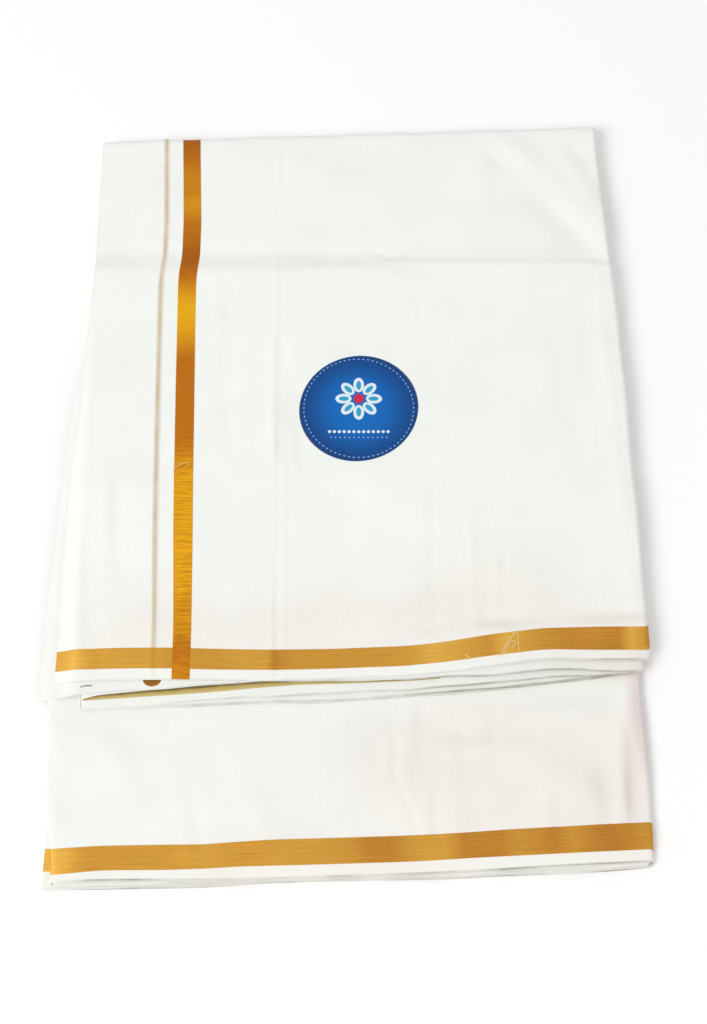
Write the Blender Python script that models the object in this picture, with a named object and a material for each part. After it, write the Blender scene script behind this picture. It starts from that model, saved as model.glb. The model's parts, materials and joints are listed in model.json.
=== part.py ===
"""A white cotton dhoti with gold-woven borders, folded into a flat packet that lies on its back.

Metres, +Z up. The packet rests on z = 0 with its top fold towards +Y and its loose hems towards -Y.
The cloth, 3.80 m long and 1.27 m wide, is halved three times along its length, which leaves eight
layers 0.475 m wide. It is then folded once across, so that a shorter half of eight layers, the flap,
lies on a longer one, the back half.

Every piece is a block in the cloth's own coordinates, sliced at its stations and then bent:
  across  0 at a layer's left edge, 1 where its right side fold starts, 2 where that fold ends;
          the second layer goes on to -1, past the outer layer's left edge
  run     0 at the flap's hem, 1 and 2 at the two ends of the top fold, 3 at the back half's hem
  depth   metres in from the packet's outer face; less than 0 lies on that face
"""

from math import cos, exp, pi, sin

import bmesh
import bpy
import numpy

MM = 0.001

# ---- the cut and the fold
CLOTH_LENGTH = 3.80
CLOTH_WIDTH = 1.27
LENGTHWISE_HALVINGS = 3
LAYERS = 2 ** LENGTHWISE_HALVINGS

# ---- thickness of each half, from the outer face in
WALL = 1.2 * MM
GAP = 0.3 * MM
HIDDEN_LAYERS = LAYERS - 3
HIDDEN_DEPTH = 4.4 * MM
SECOND_GAP = 0.7 * MM
HALF_DEPTH = 3 * WALL + SECOND_GAP + 2 * GAP + HIDDEN_DEPTH
SECOND_DEPTH = WALL + SECOND_GAP
CORE_DEPTH = SECOND_DEPTH + WALL + GAP
INNER_DEPTH = CORE_DEPTH + HIDDEN_DEPTH + GAP
FLAP_BASE = HALF_DEPTH + GAP
PACKET_HEIGHT = FLAP_BASE + HALF_DEPTH
SIDE_FOLD = HALF_DEPTH / 2

# ---- the top fold: a line across the packet, and how far the fold reaches past it
TOP_FOLD_Y = 342.5 * MM
TOP_FOLD_SLOPE = 0.0372
TOP_FOLD_REACH = 10 * MM

# ---- the pressed crease across the flap, and how the free edges sink
CREASE_Y = 205 * MM
CREASE_SINK = 0.10
CREASE_REACH = 8 * MM
EDGE_DROOP = 0.07
EDGE_REACH = 22 * MM

# ---- how the two cut ends slump at the left, first past the folded layers and then past the back half
SLUMP = 5.5 * MM
SLUMP_CLEAR = 4 * MM
SLUMP_REACH = 12 * MM
STACK_LEFT = -240 * MM
OVERHANG_DROP = 4.0 * MM
OVERHANG_REACH = 9 * MM
SLUMP_END_RUN = 0.90

# ---- the woven gold and the label
MARGIN = 10 * MM
FLAP_BORDER = 17 * MM
BACK_BORDER = 18.4 * MM
END_BAND = 16.6 * MM
END_LINE = 3.5 * MM
LINE_TO_BAND = 24.8 * MM
BAND_END_RUN = 1.62
LABEL_RADIUS = 53 * MM
LABEL_CENTRE = (13.2 * MM, 52 * MM)
LABEL_SIDES = 56
SCALLOP = 1.5 * MM

# Where each layer's two sides lie, in millimetres, along the run.
SIDE_COLUMNS = ("run", "outer_left", "second_left", "hidden_left", "facing_left", "right")
SIDES = (
    (0.00, -238.0, -253.0, -214.0, -216.0, 254.0),
    (0.20, -238.0, -249.5, -217.0, -218.0, 254.0),
    (0.36, -237.5, -246.0, -219.0, -221.0, 253.0),
    (0.48, -233.0, -243.0, -221.0, -223.0, 252.5),
    (0.62, -231.5, -234.0, -223.0, -225.0, 251.0),
    (0.76, -230.0, -231.5, -225.0, -226.0, 248.0),
    (1.00, -233.0, -234.0, -228.0, -229.0, 244.0),
    (2.00, -233.0, -231.0, -229.0, -231.0, 244.0),
    (2.79, -234.0, -231.0, -234.0, -242.0, 246.5),
    (2.90, -235.0, -231.0, -235.5, -239.0, 247.0),
    (2.96, -235.5, -231.0, -236.5, -230.0, 247.0),
    (3.00, -236.0, -231.0, -236.5, -229.0, 245.5),
)

# Where each layer's hem lies, in millimetres, across the packet.
HEM_COLUMNS = ("x", "outer", "second", "third", "back", "under")
HEMS = (
    (-253, -198.0, -210.0, -222.0, -357.0, -361.8),
    (-238, -197.8, -210.5, -222.0, -356.8, -361.5),
    (-198, -195.7, -206.0, -219.6, -354.4, -360.6),
    (-160, -195.5, -203.7, -216.5, -354.1, -360.0),
    (-110, -196.0, -201.0, -213.0, -354.1, -359.3),
    (-60, -198.0, -199.6, -210.0, -353.0, -356.2),
    (0, -195.0, -197.6, -206.0, -351.5, -354.8),
    (50, -193.0, -197.1, -204.0, -350.0, -355.1),
    (92, -188.5, -194.0, -199.5, -348.6, -354.2),
    (130, -183.0, -191.2, -197.4, -346.7, -351.0),
    (166, -178.7, -187.2, -193.5, -343.6, -349.0),
    (212, -179.2, -188.5, -190.7, -341.3, -346.6),
    (254, -178.7, -188.1, -188.5, -339.4, -343.0),
)

# The crosswise gold band's middle, in millimetres, along the run.
BAND_COLUMNS = ("run", "middle")
BAND_MIDDLES = (
    (0.00, -132.8), (0.07, -134.0), (0.24, -138.0), (0.34, -140.2), (0.52, -142.0),
    (0.68, -145.0), (0.72, -145.6), (0.76, -143.0), (0.83, -143.2), (1.00, -148.0), (2.00, -149.0),
)

# The sliver of the third layer's border that shows below the flap, in millimetres.
SLIVER_COLUMNS = ("x", "low", "high")
SLIVER = (
    (-213, -211.9, -210.8), (-198, -211.0, -207.0), (-174, -208.6, -205.1),
    (-134, -206.5, -203.2), (-97, -203.9, -201.4), (-64, -201.6, -200.2), (-35, -200.3, -199.4),
)

# The middle of the whole packet's box, in the tables' coordinates: the origin goes under it.
PACKET_MIDDLE = (1.21 * MM, -0.27 * MM)

# ---- stations: where the blocks are sliced
ACROSS = tuple(numpy.linspace(0, 0.08, 8).tolist() + [0.12] + numpy.linspace(0.2, 1, 9).tolist())
BEYOND = (-1.0, -0.66, -0.33)
SIDE_WRAP = (1.22, 1.45, 1.70, 1.97)
TOP_WRAP = tuple(3 - station for station in reversed(SIDE_WRAP))[:3]
CREASE_RUNS = (0.70, 0.725, 0.74, 0.755, 0.78)
FLAP_RUNS = (0.0, 0.05, 0.12, 0.20, 0.30, 0.40, 0.49, 0.58, 0.64) + CREASE_RUNS + (0.84, 0.90, 0.95, 1.0)
FOLD_RUNS = (1.2, 1.4, 1.6, 1.8, 2.0)
BACK_RUNS = (2.25, 2.50, 2.75, 2.90, 2.96, 3.0)
SKIN = (0.0, WALL)


# ---- reading the tables
def reader(columns, rows):
    """A function that reads a named column of a table, in metres, at a place along its first column."""
    keys = [row[0] for row in rows]

    def read(name, key):
        values = [row[columns.index(name)] for row in rows]
        return float(numpy.interp(key, keys, values)) * MM

    return read


side_x = reader(SIDE_COLUMNS, SIDES)
hem_table = reader(HEM_COLUMNS, HEMS)
band_x = reader(BAND_COLUMNS, BAND_MIDDLES)
sliver_table = reader(SLIVER_COLUMNS, SLIVER)


def hem_y(name, x):
    return hem_table(name, x / MM)


def fold_start(x):
    return TOP_FOLD_Y + TOP_FOLD_SLOPE * x


# ---- the shape of the packet
def free_edge_sink(x, y, left, hem):
    """How far the layers sink at the free left edge and the hem; nothing at the top fold."""
    from_fold = min(max((fold_start(x) - y) / (fold_start(x) - hem), 0), 1)
    side = exp(-max(x - left, -EDGE_REACH) / EDGE_REACH)
    end = exp(-max(y - hem, -EDGE_REACH) / EDGE_REACH)
    return EDGE_DROOP * from_fold * (side + end)


def slump(x, y):
    """How far the cut ends fall at the left, where no folded layer lies under them."""
    hem = hem_y("outer", x)
    run = min(max((y - hem) / (fold_start(x) - hem), 0), 1)
    past_folds = max(side_x("hidden_left", run) - SLUMP_CLEAR - x, 0)
    past_stack = max(STACK_LEFT - x, 0)
    fall = SLUMP * (1 - exp(-(past_folds / SLUMP_REACH) ** 2))
    fall += OVERHANG_DROP * (1 - exp(-(past_stack / OVERHANG_REACH) ** 2))
    return fall * min((1 - run) / (1 - SLUMP_END_RUN), 1)


def flap_height(x, y, depth):
    crease = CREASE_SINK * exp(-((y - CREASE_Y) / CREASE_REACH) ** 2)
    sink = crease + free_edge_sink(x, y, -238 * MM, hem_y("outer", x))
    return FLAP_BASE + (HALF_DEPTH - depth) * (1 - sink) - slump(x, y)


def back_height(x, y, depth):
    return depth * (1 - free_edge_sink(x, y, -240 * MM, hem_y("back", x)))


def lay(x, run, depth, flap_hem, back_hem):
    """The point of the packet at x, that far along the run and that deep in its layers."""
    start = fold_start(x)
    if run <= 1:
        y = start + (hem_y(flap_hem, x) - start) * (1 - run)
        return x, y, flap_height(x, y, depth)
    if run < 2:
        angle = (run - 1) * pi
        reach = (TOP_FOLD_REACH - depth) * sin(angle)
        middle = PACKET_HEIGHT / 2
        return x, start + reach, middle + (middle - depth) * cos(angle)
    y = start + (hem_y(back_hem, x) - start) * (run - 2)
    return x, y, back_height(x, y, depth)


def layer_place(left, flap_hem, back_hem, base=0.0, beyond=None):
    """Places a layer: flat between its sides, then round the side fold where across passes 1.
    A layer that goes on to the left, to the side named beyond, does so where across is less than 0."""

    def place(across, run, depth):
        start, stop = side_x(left, run), side_x("right", run) - SIDE_FOLD
        deep = base + depth
        if across < 0:
            return lay(start - (side_x(beyond, run) - start) * across, run, deep, flap_hem, back_hem)
        if across <= 1:
            return lay(start + (stop - start) * across, run, deep, flap_hem, back_hem)
        angle = (across - 1) * pi
        radius = SIDE_FOLD - deep
        x = stop + radius * sin(angle)
        return lay(x, run, SIDE_FOLD - radius * cos(angle), flap_hem, back_hem)

    return place


# ---- making a piece
def make_material(name, colour, roughness, metallic):
    material = bpy.data.materials.new(name)
    material.use_nodes = True
    shader = material.node_tree.nodes["Principled BSDF"]
    shader.inputs["Base Color"].default_value = (*colour, 1)
    shader.inputs["Roughness"].default_value = roughness
    shader.inputs["Metallic"].default_value = metallic
    material.diffuse_color = (*colour, 1)
    return material


def slice_block(bm, stations):
    """Cuts a block that spans 0 to n on each axis at every whole number between."""
    for axis, values in enumerate(stations):
        normal = [0, 0, 0]
        normal[axis] = 1
        for index in range(1, len(values) - 1):
            geometry = bm.verts[:] + bm.edges[:] + bm.faces[:]
            point = [index * part for part in normal]
            bmesh.ops.bisect_plane(bm, geom=geometry, plane_co=point, plane_no=normal, dist=1e-5)


def bent_block(name, material, place, across, run, depth=SKIN):
    """A closed block with a slice at each station, its points moved to where place puts them."""
    stations = (tuple(across), tuple(run), tuple(depth))
    bm = bmesh.new()
    bmesh.ops.create_cube(bm, size=1)
    for vert in bm.verts:
        for axis, values in enumerate(stations):
            vert.co[axis] = (vert.co[axis] + 0.5) * (len(values) - 1)
    slice_block(bm, stations)
    for vert in bm.verts:
        vert.co = place(*(values[round(vert.co[axis])] for axis, values in enumerate(stations)))
    return finish(name, material, bm)


def finish(name, material, bm):
    """Moves the origin under the packet's middle, turns the faces outwards and makes the object."""
    bmesh.ops.translate(bm, verts=bm.verts[:], vec=(-PACKET_MIDDLE[0], -PACKET_MIDDLE[1], 0))
    if bm.calc_volume(signed=True) < 0:
        bmesh.ops.reverse_faces(bm, faces=bm.faces[:])
    mesh = bpy.data.meshes.new(name)
    bm.to_mesh(mesh)
    bm.free()
    mesh.materials.append(material)
    mesh.shade_smooth()
    mesh.set_sharp_from_angle(angle=pi / 5)
    piece = bpy.data.objects.new(name, mesh)
    packet.objects.link(piece)
    return piece


# ---- the cloth
def make_cloth():
    white = {
        name: make_material(f"{name} cotton", colour, 0.85, 0.0)
        for name, colour in (
            ("front_panel", (0.88, 0.89, 0.86)), ("underside_panel", (0.84, 0.84, 0.81)),
            ("second_layer", (0.86, 0.87, 0.85)), ("hidden_layers", (0.80, 0.80, 0.77)),
            ("flap_inner_layer", (0.84, 0.84, 0.80)), ("back_panel", (0.88, 0.87, 0.84)),
        )
    }
    outer = layer_place("outer_left", "outer", "under")
    under_start = 2 + GAP / CLOTH_WIDTH * 2
    bent_block("front_panel", white["front_panel"], outer, ACROSS + SIDE_WRAP, FLAP_RUNS + FOLD_RUNS)
    bent_block("underside_panel", white["underside_panel"], outer, ACROSS + SIDE_WRAP,
               (under_start,) + BACK_RUNS)
    second = layer_place("outer_left", "second", "under", base=SECOND_DEPTH, beyond="second_left")
    bent_block("second_layer", white["second_layer"], second, BEYOND + ACROSS, FLAP_RUNS)
    flap_inner = layer_place("hidden_left", "third", "back", base=INNER_DEPTH)
    bent_block("flap_inner_layer", white["flap_inner_layer"], flap_inner, ACROSS, FLAP_RUNS)
    facing = layer_place("facing_left", "third", "back", base=INNER_DEPTH)
    bent_block("back_panel", white["back_panel"], facing, ACROSS, (under_start,) + BACK_RUNS)
    make_hidden_layers(white["hidden_layers"])


def make_hidden_layers(material):
    """The layers between, as one solid whose edges are scalloped, one scallop to a layer."""
    flat = layer_place("hidden_left", "third", "back", base=CORE_DEPTH)
    last = ACROSS[-1]

    def place(across, run, depth):
        x, y, z = flat(across, run, depth)
        groove = SCALLOP * abs(cos(pi * HIDDEN_LAYERS * depth / HIDDEN_DEPTH))
        x += groove * ((across == 0) - (across == last))
        y += groove * ((run == 0) + (run == BACK_RUNS[-1]))
        return x, y, z

    levels = numpy.linspace(0, HIDDEN_DEPTH, 2 * HIDDEN_LAYERS + 1).tolist()
    bent_block("hidden_layers", material, place, ACROSS, FLAP_RUNS + FOLD_RUNS + (2.01,) + BACK_RUNS, levels)


# ---- the woven gold
OVERLAY = (-GAP - WALL, -GAP)


def run_at(distance, flap=True):
    """The run that lies a distance in from the hem, at the packet's middle."""
    if flap:
        return distance / (fold_start(0) - hem_y("outer", 0))
    return 3 - distance / (fold_start(0) - hem_y("back", 0))


def strip_place(left, right, hem):
    """Places a strip on the flap between two x positions that vary along the run."""

    def place(across, run, depth):
        x = left(run) + (right(run) - left(run)) * across
        return lay(x, run, depth, hem, "under")

    return place


def make_flap_gold(border_gold, band_gold, line_gold):
    border_runs = (run_at(MARGIN), run_at(MARGIN + FLAP_BORDER))
    half = END_BAND / 2
    outer = layer_place("outer_left", "outer", "under")
    left_part = strip_place(
        lambda run: side_x("outer_left", run), lambda run: band_x("middle", run) - half - GAP, "outer")
    left, band_left = side_x("outer_left", 0), band_x("middle", 0) - half - GAP
    share = (band_left - left) / (side_x("right", 0) - SIDE_FOLD - left)
    left_across = tuple(station / share for station in ACROSS if station < share) + (1.0,)
    bent_block("flap_border_left", border_gold, left_part, left_across, border_runs, OVERLAY)

    def right_part(across, run, depth):
        start = band_x("middle", run) + half + GAP
        stop = side_x("right", run) - SIDE_FOLD
        if across > 1:
            return outer(across, run, depth)
        return lay(start + (stop - start) * across, run, depth, "outer", "under")

    bent_block("flap_border_right", border_gold, right_part,
               ACROSS + SIDE_WRAP[:2], border_runs, OVERLAY)
    long_runs = FLAP_RUNS[2:] + (1.2, 1.4, BAND_END_RUN)
    band = strip_place(
        lambda run: band_x("middle", run) - half, lambda run: band_x("middle", run) + half, "outer")
    bent_block("end_band", band_gold, band, (0, 0.5, 1), (run_at(GAP), FLAP_RUNS[1]) + long_runs, OVERLAY)
    line = strip_place(
        lambda run: band_x("middle", run) - LINE_TO_BAND - END_LINE / 2,
        lambda run: band_x("middle", run) - LINE_TO_BAND + END_LINE / 2, "outer")
    above_border = run_at(MARGIN + FLAP_BORDER + GAP)
    bent_block("end_line", line_gold, line, (0, 1), (above_border,) + long_runs, OVERLAY)


def make_lower_gold(border_gold, band_gold):
    """The gold that shows on the layers under the flap's face."""
    def tip(across, run, depth):
        x = band_x("middle", 0) - LINE_TO_BAND + END_BAND * (across - 0.5)
        low, high = hem_y("second", x) + 1.5 * MM, hem_y("outer", x) - 3 * GAP
        y = low + (high - low) * run
        return x, y, flap_height(x, y, SECOND_DEPTH + depth)

    bent_block("second_layer_band", band_gold, tip, (0, 0.5, 1), (0, 1), OVERLAY)
    sliver_x = [row[0] for row in SLIVER]

    def sliver(x, run, depth):
        low, high = sliver_table("low", x), sliver_table("high", x)
        y = low + (high - low) * run
        return x * MM, y, flap_height(x * MM, y, CORE_DEPTH + depth)

    bent_block("third_layer_border", border_gold, sliver, sliver_x, (0, 1), OVERLAY)


def make_back_gold(border_gold):
    runs = (run_at(MARGIN + BACK_BORDER, False), run_at(MARGIN, False))
    above = (GAP, GAP + WALL)

    def border(across, run, depth):
        start, stop = side_x("facing_left", run), side_x("right", run) - SIDE_FOLD
        if across <= 1:
            return lay(start + (stop - start) * across, run, HALF_DEPTH + depth, "outer", "back")
        angle = (across - 1) * pi
        radius = SIDE_FOLD + depth
        x = stop + radius * sin(angle)
        return lay(x, run, SIDE_FOLD + radius * cos(angle), "outer", "back")

    bent_block("back_border", border_gold, border, ACROSS + TOP_WRAP, runs, above)

    def stub(across, run, depth):
        start, stop = side_x("hidden_left", run) + SCALLOP, side_x("facing_left", run) - GAP
        x = start + (stop - start) * across
        return lay(x, run, CORE_DEPTH + HIDDEN_DEPTH + depth, "outer", "back")

    bent_block("under_layer_border", border_gold, stub, (0, 1), (runs[0] + 0.001, runs[1]), above)


# ---- the label
def make_label(material):
    bm = bmesh.new()
    bmesh.ops.create_cone(bm, cap_ends=True, segments=LABEL_SIDES, radius1=LABEL_RADIUS,
                          radius2=LABEL_RADIUS, depth=WALL)
    for vert in bm.verts:
        x, y = LABEL_CENTRE[0] + vert.co.x, LABEL_CENTRE[1] + vert.co.y
        depth = OVERLAY[0] if vert.co.z > 0 else OVERLAY[1]
        vert.co = (x, y, flap_height(x, y, depth))
    finish("label", material, bm)


for old in list(bpy.data.objects):
    bpy.data.objects.remove(old, do_unlink=True)
packet = bpy.data.collections.new("folded dhoti")
bpy.context.scene.collection.children.link(packet)

make_cloth()
border_zari = make_material("border zari", (0.62, 0.33, 0.04), 0.42, 0.7)
end_zari = make_material("end zari", (0.55, 0.25, 0.02), 0.40, 0.7)
tan_thread = make_material("tan thread", (0.72, 0.62, 0.48), 0.7, 0.0)
make_flap_gold(border_zari, end_zari, tan_thread)
make_lower_gold(border_zari, end_zari)
make_back_gold(border_zari)
make_label(make_material("label paper", (0.02, 0.10, 0.38), 0.45, 0.0))

flap = fold_start(0) - hem_y("outer", 0)
back = fold_start(0) - hem_y("under", 0)
fold = pi * (TOP_FOLD_REACH + PACKET_HEIGHT / 2) / 2
print("flap, top fold and back half:", round(flap + fold + back, 3), "m of the cloth's", CLOTH_WIDTH)
print("layer:", round(side_x("right", 2) - side_x("outer_left", 2), 3), "m wide of", CLOTH_LENGTH / LAYERS)
corners = [piece.matrix_world @ vert.co for piece in packet.objects for vert in piece.data.vertices]
for axis, letter in enumerate("xyz"):
    values = [corner[axis] for corner in corners]
    print(letter, round(min(values) / MM, 2), round(max(values) / MM, 2), "mm")
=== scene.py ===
# %% [markdown]
# # A white dhoti, folded for the shelf
#
# A dhoti is one long plain cloth that is worn wrapped. This one is white cotton with a gold border woven
# along both long edges, and a gold band with a thin tan line beside it woven across each end. The shop has
# halved it three times along its length, which makes a stack of eight layers, and then folded the stack
# once across. A shorter half, the flap, now lies on a longer half, and a round paper label sits on it.
#
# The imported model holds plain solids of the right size. This lesson makes what is seen: thin cloth with its
# creases, the woven gold, the label and the loose threads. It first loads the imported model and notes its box.

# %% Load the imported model
import json
import math

import bpy
import numpy as np
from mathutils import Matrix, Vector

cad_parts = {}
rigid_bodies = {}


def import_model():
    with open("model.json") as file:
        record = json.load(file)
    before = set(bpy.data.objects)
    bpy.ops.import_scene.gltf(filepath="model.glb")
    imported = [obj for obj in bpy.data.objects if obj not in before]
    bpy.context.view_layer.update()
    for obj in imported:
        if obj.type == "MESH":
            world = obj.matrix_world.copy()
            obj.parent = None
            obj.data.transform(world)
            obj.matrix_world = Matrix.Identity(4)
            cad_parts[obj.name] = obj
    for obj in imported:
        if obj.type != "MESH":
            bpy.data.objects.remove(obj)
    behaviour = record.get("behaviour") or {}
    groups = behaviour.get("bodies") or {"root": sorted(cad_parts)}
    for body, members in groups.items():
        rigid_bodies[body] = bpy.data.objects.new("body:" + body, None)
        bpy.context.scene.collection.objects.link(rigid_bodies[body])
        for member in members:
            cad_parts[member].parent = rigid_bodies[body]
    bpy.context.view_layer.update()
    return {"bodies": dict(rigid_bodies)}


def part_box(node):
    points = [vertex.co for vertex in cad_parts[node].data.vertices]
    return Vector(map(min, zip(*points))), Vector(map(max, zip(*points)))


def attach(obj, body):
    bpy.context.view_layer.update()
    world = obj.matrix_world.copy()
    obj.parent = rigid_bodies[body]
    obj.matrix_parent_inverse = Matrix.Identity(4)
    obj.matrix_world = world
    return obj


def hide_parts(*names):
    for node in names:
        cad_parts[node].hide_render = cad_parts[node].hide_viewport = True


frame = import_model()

MM = 0.001

# %% [markdown]
# ## The camera
#
# The cloth lies flat and is looked at from in front and well above. A camera's place is easiest to say as
# a point it aims at, a distance and a height angle, so those are the named values, and the place follows
# from them. The aim lies a little in front of the middle, because the near half looks larger.

# %% Camera
CAMERA_AIM = (7.34 * MM, -39.83 * MM, 0.0)
CAMERA_DISTANCE = 1.1734
CAMERA_ELEVATION = math.radians(68)
LENS = 47.09

camera = bpy.data.objects.new("camera", bpy.data.cameras.new("camera"))
camera.data.lens = LENS
camera.location = (
    CAMERA_AIM[0],
    CAMERA_AIM[1] - CAMERA_DISTANCE * math.cos(CAMERA_ELEVATION),
    CAMERA_AIM[2] + CAMERA_DISTANCE * math.sin(CAMERA_ELEVATION),
)
camera.rotation_euler = (math.pi / 2 - CAMERA_ELEVATION, 0, 0)
bpy.context.scene.collection.objects.link(camera)
bpy.context.scene.camera = camera
print("camera stands", round(camera.location.z, 3), "m above the table")

# %% [markdown]
# ## Floor and light
#
# White cloth needs careful light: too much and its folds vanish. A pale room gives most of the light from
# everywhere, and one broad lamp, high at the front left, models the folds with soft shade: it lights the
# hems, and leaves the top fold and the right side darker. The Standard view keeps whites white, where the
# default view would turn them grey.

# %% Floor and light
FLOOR_SIZE = 6.0
FLOOR_COLOUR = (0.99, 0.99, 0.99, 1)
ROOM_STRENGTH = 0.69
LAMP_PLACE = (-4.4, -3.4, 4.9)
LAMP_SIZE = 3.2
LAMP_WATTS = 282


def add_lamp(name, place, aim, size, watts):
    """A square soft lamp at a place, turned to face a point."""
    lamp = bpy.data.objects.new(name, bpy.data.lights.new(name, "AREA"))
    lamp.data.size = size
    lamp.data.energy = watts
    lamp.location = place
    way = np.array(aim) - np.array(place)
    flat = math.hypot(way[0], way[1])
    lamp.rotation_euler = (math.pi / 2 - math.atan2(-way[2], flat), 0, math.atan2(-way[0], way[1]))
    bpy.context.scene.collection.objects.link(lamp)
    return lamp


bpy.context.scene.view_settings.view_transform = "Standard"
room = bpy.data.worlds.new("pale room")
room.use_nodes = True
background = room.node_tree.nodes["Background"]
background.inputs["Color"].default_value = (1, 1, 1, 1)
background.inputs["Strength"].default_value = ROOM_STRENGTH
bpy.context.scene.world = room

add_lamp("front left lamp", LAMP_PLACE, (0, 0, 0), LAMP_SIZE, LAMP_WATTS)

floor_mesh = bpy.data.meshes.new("floor")
half = FLOOR_SIZE / 2
floor_corners = [(-half, -half, 0), (half, -half, 0), (half, half, 0), (-half, half, 0)]
floor_mesh.from_pydata(floor_corners, [], [(0, 1, 2, 3)])
floor = bpy.data.objects.new("floor", floor_mesh)
floor_material = bpy.data.materials.new("pale floor")
floor_material.use_nodes = True
floor_shader = floor_material.node_tree.nodes["Principled BSDF"]
floor_shader.inputs["Base Color"].default_value = FLOOR_COLOUR
floor_shader.inputs["Roughness"].default_value = 0.9
floor_mesh.materials.append(floor_material)
bpy.context.scene.collection.objects.link(floor)

# %% [markdown]
# ## Reading a table with soft corners
#
# The packet's outline is a few measured places: where each layer's sides and hems lie. Cloth has no sharp
# corners in its outline, so a reader takes the average over a short stretch of the table, weighted to the
# middle, which rounds the corners off. It works on whole arrays of places at once, and that keeps it quick.

# %% A reader for tables
def reader(columns, rows, soft):
    """A function that reads a named column, in metres, along the first one, its corners rounded over soft."""
    keys = np.array([row[0] for row in rows], float)
    values = {name: np.array([row[index] for row in rows], float) for index, name in enumerate(columns)}
    window = np.linspace(-1, 1, 9)
    weights = 1 - np.abs(window) * 0.8
    weights /= weights.sum()

    def read(name, key):
        spread = np.asarray(key, float)[..., None] + window * soft
        return (np.interp(spread, keys, values[name]) * weights).sum(axis=-1) * MM

    return read


# %% [markdown]
# ## Where the layers' edges lie
#
# Two directions name every point of the packet. `x` goes across it, and `run` goes along the folded cloth:
# 0 at the flap's hem, 1 and 2 at the two ends of the top fold, and 3 at the back half's hem. The first table
# gives the sides along the run, and the second gives the hems across the packet, both in millimetres.
# The layers were not folded quite square, so every edge has its own line: that is what makes the stack real.

# %% Sides and hems
SIDE_COLUMNS = ("run", "outer_left", "second_left", "hidden_left", "facing_left", "right")
SIDES = (
    (0.00, -238.0, -253.0, -214.0, -216.0, 254.0),
    (0.20, -238.0, -249.5, -217.0, -218.0, 254.0),
    (0.36, -237.5, -246.0, -219.0, -221.0, 253.0),
    (0.48, -233.0, -243.0, -221.0, -223.0, 252.5),
    (0.62, -231.5, -234.0, -223.0, -225.0, 251.0),
    (0.76, -230.0, -231.5, -225.0, -226.0, 248.0),
    (1.00, -233.0, -234.0, -228.0, -229.0, 244.0),
    (2.00, -233.0, -231.0, -229.0, -231.0, 244.0),
    (2.79, -234.0, -231.0, -234.0, -242.0, 246.5),
    (2.90, -235.0, -231.0, -235.5, -239.0, 247.0),
    (2.96, -235.5, -231.0, -236.5, -230.0, 247.0),
    (3.00, -236.0, -231.0, -236.5, -229.0, 245.5),
)
HEM_COLUMNS = ("x", "outer", "second", "third", "fourth", "back", "under")
HEMS = (
    (-253, -198.0, -210.0, -222.0, -219.5, -357.0, -361.8),
    (-238, -197.8, -210.5, -222.0, -219.5, -356.8, -361.5),
    (-198, -195.7, -206.0, -218.8, -219.2, -354.4, -360.6),
    (-160, -195.5, -203.6, -216.4, -217.4, -354.1, -360.0),
    (-110, -196.0, -199.4, -212.0, -216.2, -354.1, -359.3),
    (-60, -196.4, -197.0, -208.6, -214.4, -353.0, -355.8),
    (0, -194.6, -196.0, -206.0, -212.4, -351.3, -353.9),
    (50, -192.8, -195.8, -204.0, -209.2, -349.6, -353.4),
    (92, -188.5, -193.0, -199.5, -205.5, -347.8, -352.4),
    (130, -183.0, -191.2, -197.4, -201.9, -345.9, -349.9),
    (166, -178.7, -187.2, -193.5, -198.6, -343.6, -349.0),
    (212, -179.2, -188.5, -190.7, -193.7, -341.3, -346.6),
    (254, -178.7, -188.1, -188.5, -188.6, -339.4, -343.0),
)
PACKET_MIDDLE = np.array((1.21, -0.27, 0.0)) * MM
TOP_FOLD_Y = 342.5 * MM
TOP_FOLD_SLOPE = 0.0372

side_x = reader(SIDE_COLUMNS, SIDES, soft=0.022)
hem_table = reader(HEM_COLUMNS, HEMS, soft=14)


def fold_start(x):
    """Where the top fold starts, along the packet."""
    return TOP_FOLD_Y + TOP_FOLD_SLOPE * x


print("flap is", round((fold_start(0) - hem_table("outer", 0)) / MM), "mm long, back half",
      round((fold_start(0) - hem_table("under", 0)) / MM), "mm")

# %% [markdown]
# ## The eight layers
#
# Each half holds eight layers, counted from the packet's outer face in. Halving a cloth three times joins
# them in one chain, from one cut end to the other: 1, 8, 5, 4, 3, 6, 7, 2. The folds lie at the right and
# the left by turns, and the two cut ends, 1 and 2, both lie at the left. The layers' depths come from the
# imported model's height, shared out evenly, with real air between sheets less than half a millimetre thick.

# %% Depths, sides and hems of a layer
PACKET_HEIGHT = float(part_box("front_panel")[1][2])
HALVES_GAP = 0.3 * MM
HALF_DEPTH = (PACKET_HEIGHT - HALVES_GAP) / 2
LAYERS = 8
CLOTH = 0.55 * MM
OUTER_DEPTH = 0.42 * MM
PITCH = (HALF_DEPTH - 2 * OUTER_DEPTH) / (LAYERS - 1)
SIDE_FOLD = HALF_DEPTH / 2 - OUTER_DEPTH
HEM_INSET = 4.2 * MM
HEM_INSET_RUN = 0.10

LAYER_COLUMNS = (
    "layer", "left side", "left inset, mm", "right inset, mm", "flap hem", "hem lift, mm", "back share")
LAYER_TABLE = (
    (1, "outer_left", 0.0, 0.0, "outer", 0.0, 1.00),
    (2, "second_left", 0.0, 0.9, "second", 0.0, 0.84),
    (3, "hidden_left", 0.6, 1.6, "third", 0.0, 0.55),
    (4, "hidden_left", 0.6, 2.4, "third", 1.0, 0.92),
    (5, "facing_left", 1.8, 2.4, "fourth", 1.4, 0.38),
    (6, "facing_left", 2.9, 1.6, "fourth", 2.4, 0.62),
    (7, "facing_left", 2.9, 0.9, "fourth", 1.0, 0.28),
    (8, "facing_left", 1.8, 0.0, "fourth", 0.0, 0.00),
)
LAYER = {row[0]: dict(zip(LAYER_COLUMNS, row)) for row in LAYER_TABLE}


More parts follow.
